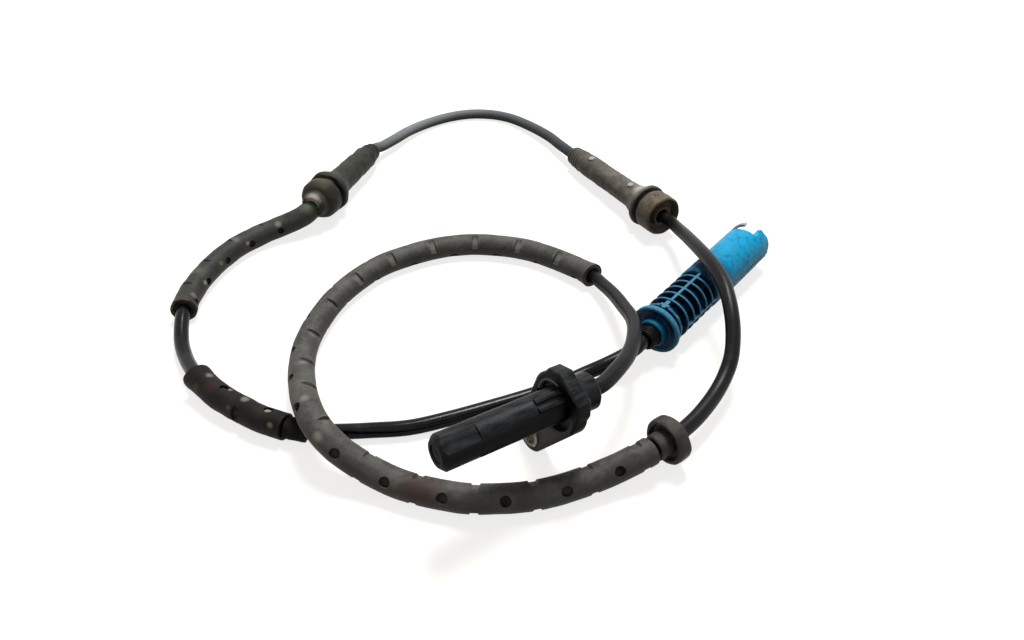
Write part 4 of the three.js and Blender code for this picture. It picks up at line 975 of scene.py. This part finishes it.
def boxMesh(name, middle, size, place, edge=0.15):
    work = bmesh.new()
    bmesh.ops.create_cube(work, size=1)
    bmesh.ops.scale(work, vec=size, verts=work.verts)
    bmesh.ops.bevel(work, geom=work.edges[:], offset=edge, segments=2, affect="EDGES", profile=0.7)
    bmesh.ops.translate(work, vec=middle, verts=work.verts)
    bmesh.ops.transform(work, matrix=Matrix.Scale(mm, 4) @ place, verts=work.verts)
    mesh = bpy.data.meshes.new(name)
    work.to_mesh(mesh)
    work.free()
    shadeRound(mesh, 40)
    return mesh


def turnAbout(degrees):
    return Matrix.Rotation(math.radians(degrees), 4, "X")


# Plug shell: collar, dished disc, core and skirt turned in one, then the rim is cut back
plugSize = {"length": 75, "skirt": 8.6, "notch": (-62, 27, 6.5), "step": (27, 50, 3.2), "railAngle": 103,
            "railLength": 33}
shellProfile = [(-2.6, 4.4), (-2.6, 4.9), (-2.3, 5.2), (-0.2, 5.2), (0.7, 5.5), (1.0, 6.0), (0.9, 7.4), (0.3, 8.3),
                (0.0, 8.7), (0.1, 9.15), (0.5, 9.45), (1.7, 9.45), (2.1, 9.3), (2.2, 9.0), (2.2, 6.2), (31.0, 6.2),
                (31.0, 7.9), (31.2, 8.3), (31.7, 8.5), (32.2, 8.6), (74.5, 8.6), (74.9, 8.45), (75.0, 8.2),
                (75.0, 7.5), (74.7, 7.25), (74.2, 7.2), (46.0, 7.2), (46.0, 5.0), (8.0, 5.0), (8.0, 4.4)]
shell = keepMesh("shell", turnedMesh("shell", finer(shellProfile, 6), 96, plugFrame), plugBlue)
# Each cut: from one turn to another, and how deep
cutters = []
for start, end, depth in (plugSize["notch"], plugSize["step"]):
    half = math.radians(end - start) / 2
    low = plugSize["skirt"] * math.cos(half) - 0.4
    wide = min(2 * (plugSize["skirt"] + 1) * math.tan(half), 2 * plugSize["skirt"])
    mesh = boxMesh("cutter", (plugSize["length"] - depth / 2 + 0.5, 0, low + 4), (depth + 1, wide, 8),
                   plugFrame @ turnAbout((start + end) / 2), 0.4)
    cutters.append(keepMesh("cutter", mesh))
for cutter in cutters:
    cut = shell.modifiers.new("rimCut", "BOOLEAN")
    cut.operation = "DIFFERENCE"
    cut.solver = "EXACT"
    cut.object = cutter
shellMesh = finishedMesh(shell, "plugShell")
for cutter in cutters:
    bpy.data.objects.remove(cutter)
shadeRound(shellMesh, 32)
plugShell = pieceOn("plugShell", shellMesh, plugBlue, "plug_blue", "plug_shell")

finSize = {"count": 5, "ringRadius": 7.2, "ringDepth": 2.4, "ringThickness": 0.8, "edgeRound": 0.2, "first": 9.7,
           "pitch": 4.5}
plugFins = pieceOn("plugFins", ringStack("plugFins", finSize, plugBlue, plugFrame), plugBlue, "plug_blue")

# First fin, with its angular rim and cross key, and four spines
firstFin = [(4.5, 6.1), (4.5, 8.1), (4.8, 8.4), (5.6, 8.4), (5.9, 8.1), (5.9, 6.1)]
trimMeshes = [turnedMesh("firstFin", firstFin, 12, plugFrame @ turnAbout(15), sharp=20)]
for turn in (0, 90, 180, 270):
    trimMeshes.append(boxMesh("spine", (20.2, 0, 7.25), (22.0, 1.0, 2.2), plugFrame @ turnAbout(turn), 0.2))
    trimMeshes.append(boxMesh("spineEnd", (3.6, 0, 7.1), (2.8, 1.0, 1.9), plugFrame @ turnAbout(turn), 0.2))
trimMeshes.append(boxMesh("key", (5.9, 0, 8.1), (4.6, 1.5, 1.3), plugFrame, 0.25))
trimMeshes.append(boxMesh("keyBar", (5.3, 0, 8.1), (1.3, 3.4, 1.2), plugFrame, 0.25))
plugTrim = pieceOn("plugTrim", joinedMesh("plugTrim", trimMeshes), plugBlue, "plug_blue")

# The pair of rails along the skirt is rubbed pale
rails = [boxMesh("rail", (57.5, side * 0.9, 8.65), (plugSize["railLength"], 0.7, 0.6),
                 plugFrame @ turnAbout(plugSize["railAngle"])) for side in (-1, 1)]
plugRails = pieceOn("plugRails", joinedMesh("plugRails", rails), rubbedPolyester, "plug_blue")


# A strip along an arc round the axis: place, turns, radii, and distances along
def arcMesh(name, place, start, end, inner, outer, front, back, steps=24):
    verts, faces = [], []
    for i in range(steps + 1):
        angle = math.radians(start + (end - start) * i / steps)
        for x, r in ((front, inner), (front, outer), (back, outer), (back, inner)):
            verts.append((place @ Vector((x, -r * math.sin(angle), r * math.cos(angle)))) * mm)
    for i in range(steps):
        for k in range(4):
            n = (k + 1) % 4
            faces.append((i * 4 + k, i * 4 + n, i * 4 + 4 + n, i * 4 + 4 + k))
    faces += [(3, 2, 1, 0), tuple(steps * 4 + k for k in range(4))]
    return cleaned(meshOf(name, verts, faces), 40)


# Thin sliver left on the rim beside the cut, pale from rubbing, with a bright metal finish that paints a glint along
# it
sliverMesh = arcMesh("rimSliver", plugFrame, -66, -20, 7.5, 8.58, 73.0, 74.95)
rimSliver = pieceOn("rimSliver", sliverMesh, paleEdge, "plug_blue")

# Boot: a sleeve with ridges that goes into the collar
bootProfile = [(-7, 3.0), (-7, 3.5), (-6.7, 3.75), (5.7, 3.75), (5.7, 3.0)]
bootTopProfile = [(-2.4, 3.7), (-2.4, 3.95), (-2.1, 4.1), (5.2, 4.1), (5.4, 3.7)]
bootRings = {"count": 5, "ringRadius": 3.72, "ringDepth": 0.7, "ringThickness": 0.75, "edgeRound": 0.25,
             "first": -6.4, "pitch": 0.98}
bootMeshes = [turnedMesh("bootBody", finer(bootProfile, 2), 48, plugFrame),
              ringStack("bootRidges", bootRings, bootRubber, plugFrame),
              turnedMesh("bootTop", bootTopProfile, 48, plugFrame)]
plugBoot = pieceOn("plugBoot", joinedMesh("plugBoot", bootMeshes), bootRubber, "boot_rubber", "plug_boot")
print("plug is built")


# Head: the solids' own shape with its edges rounded
def roundedCopy(node, name, edge, finish, slot):
    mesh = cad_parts[node].data.copy()
    work = bmesh.new()
    work.from_mesh(mesh)
    bmesh.ops.remove_doubles(work, verts=work.verts, dist=2e-6)
    bmesh.ops.dissolve_limit(work, angle_limit=math.radians(1.0), verts=work.verts, edges=work.edges)
    work.to_mesh(mesh)
    work.free()
    piece = keepMesh("rough", mesh)
    bevel = piece.modifiers.new("edges", "BEVEL")
    bevel.limit_method = "ANGLE"
    bevel.angle_limit = math.radians(24)
    bevel.width = edge * mm
    bevel.segments = 2
    bevel.use_clamp_overlap = True
    mesh = finishedMesh(piece, name)
    shadeRound(mesh, 30)
    return pieceOn(name, mesh, finish, slot, node)


roundedCopy("sensor_housing", "sensorHead", 0.25, headNylon, "head_plastic")
roundedCopy("bolt_bush", "boltBush", 0.2, grimySteel, "bush_steel")

# Painted highlight: a pale strip on the upper wall of the recess round the nose stands for light caught on the recess
# rim
rimHighlightMesh = arcMesh("recessRimHighlight", headFrame, -112, -22, 7.5, 8.27, 0.05, 1.2)
pieceOn("recessRimHighlight", rimHighlightMesh, rimHighlight, "head_plastic")

# Pieces inside keep the solids' shape and get their own finishes
inner = {"chip_carrier": naturalNylon, "sensor_chip": epoxy, "bias_magnet": groundMagnet,
         "lead_strip_a": tinnedCopper, "lead_strip_b": tinnedCopper,
         "wire_crimp_a": pressedBrass, "wire_crimp_b": pressedBrass,
         "head_core_a": blueInsulation, "head_core_b": blackInsulation, "plug_core_a": blueInsulation,
         "plug_core_b": blackInsulation, "wire_seal": siliconeSeal, "contact_insert": insertNylon,
         "contact_blade_a": tinnedCopper, "contact_blade_b": tinnedCopper}
for node, finish in inner.items():
    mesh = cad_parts[node].data
    mesh.materials.clear()
    mesh.materials.append(finish)
print("head and inner pieces are finished")
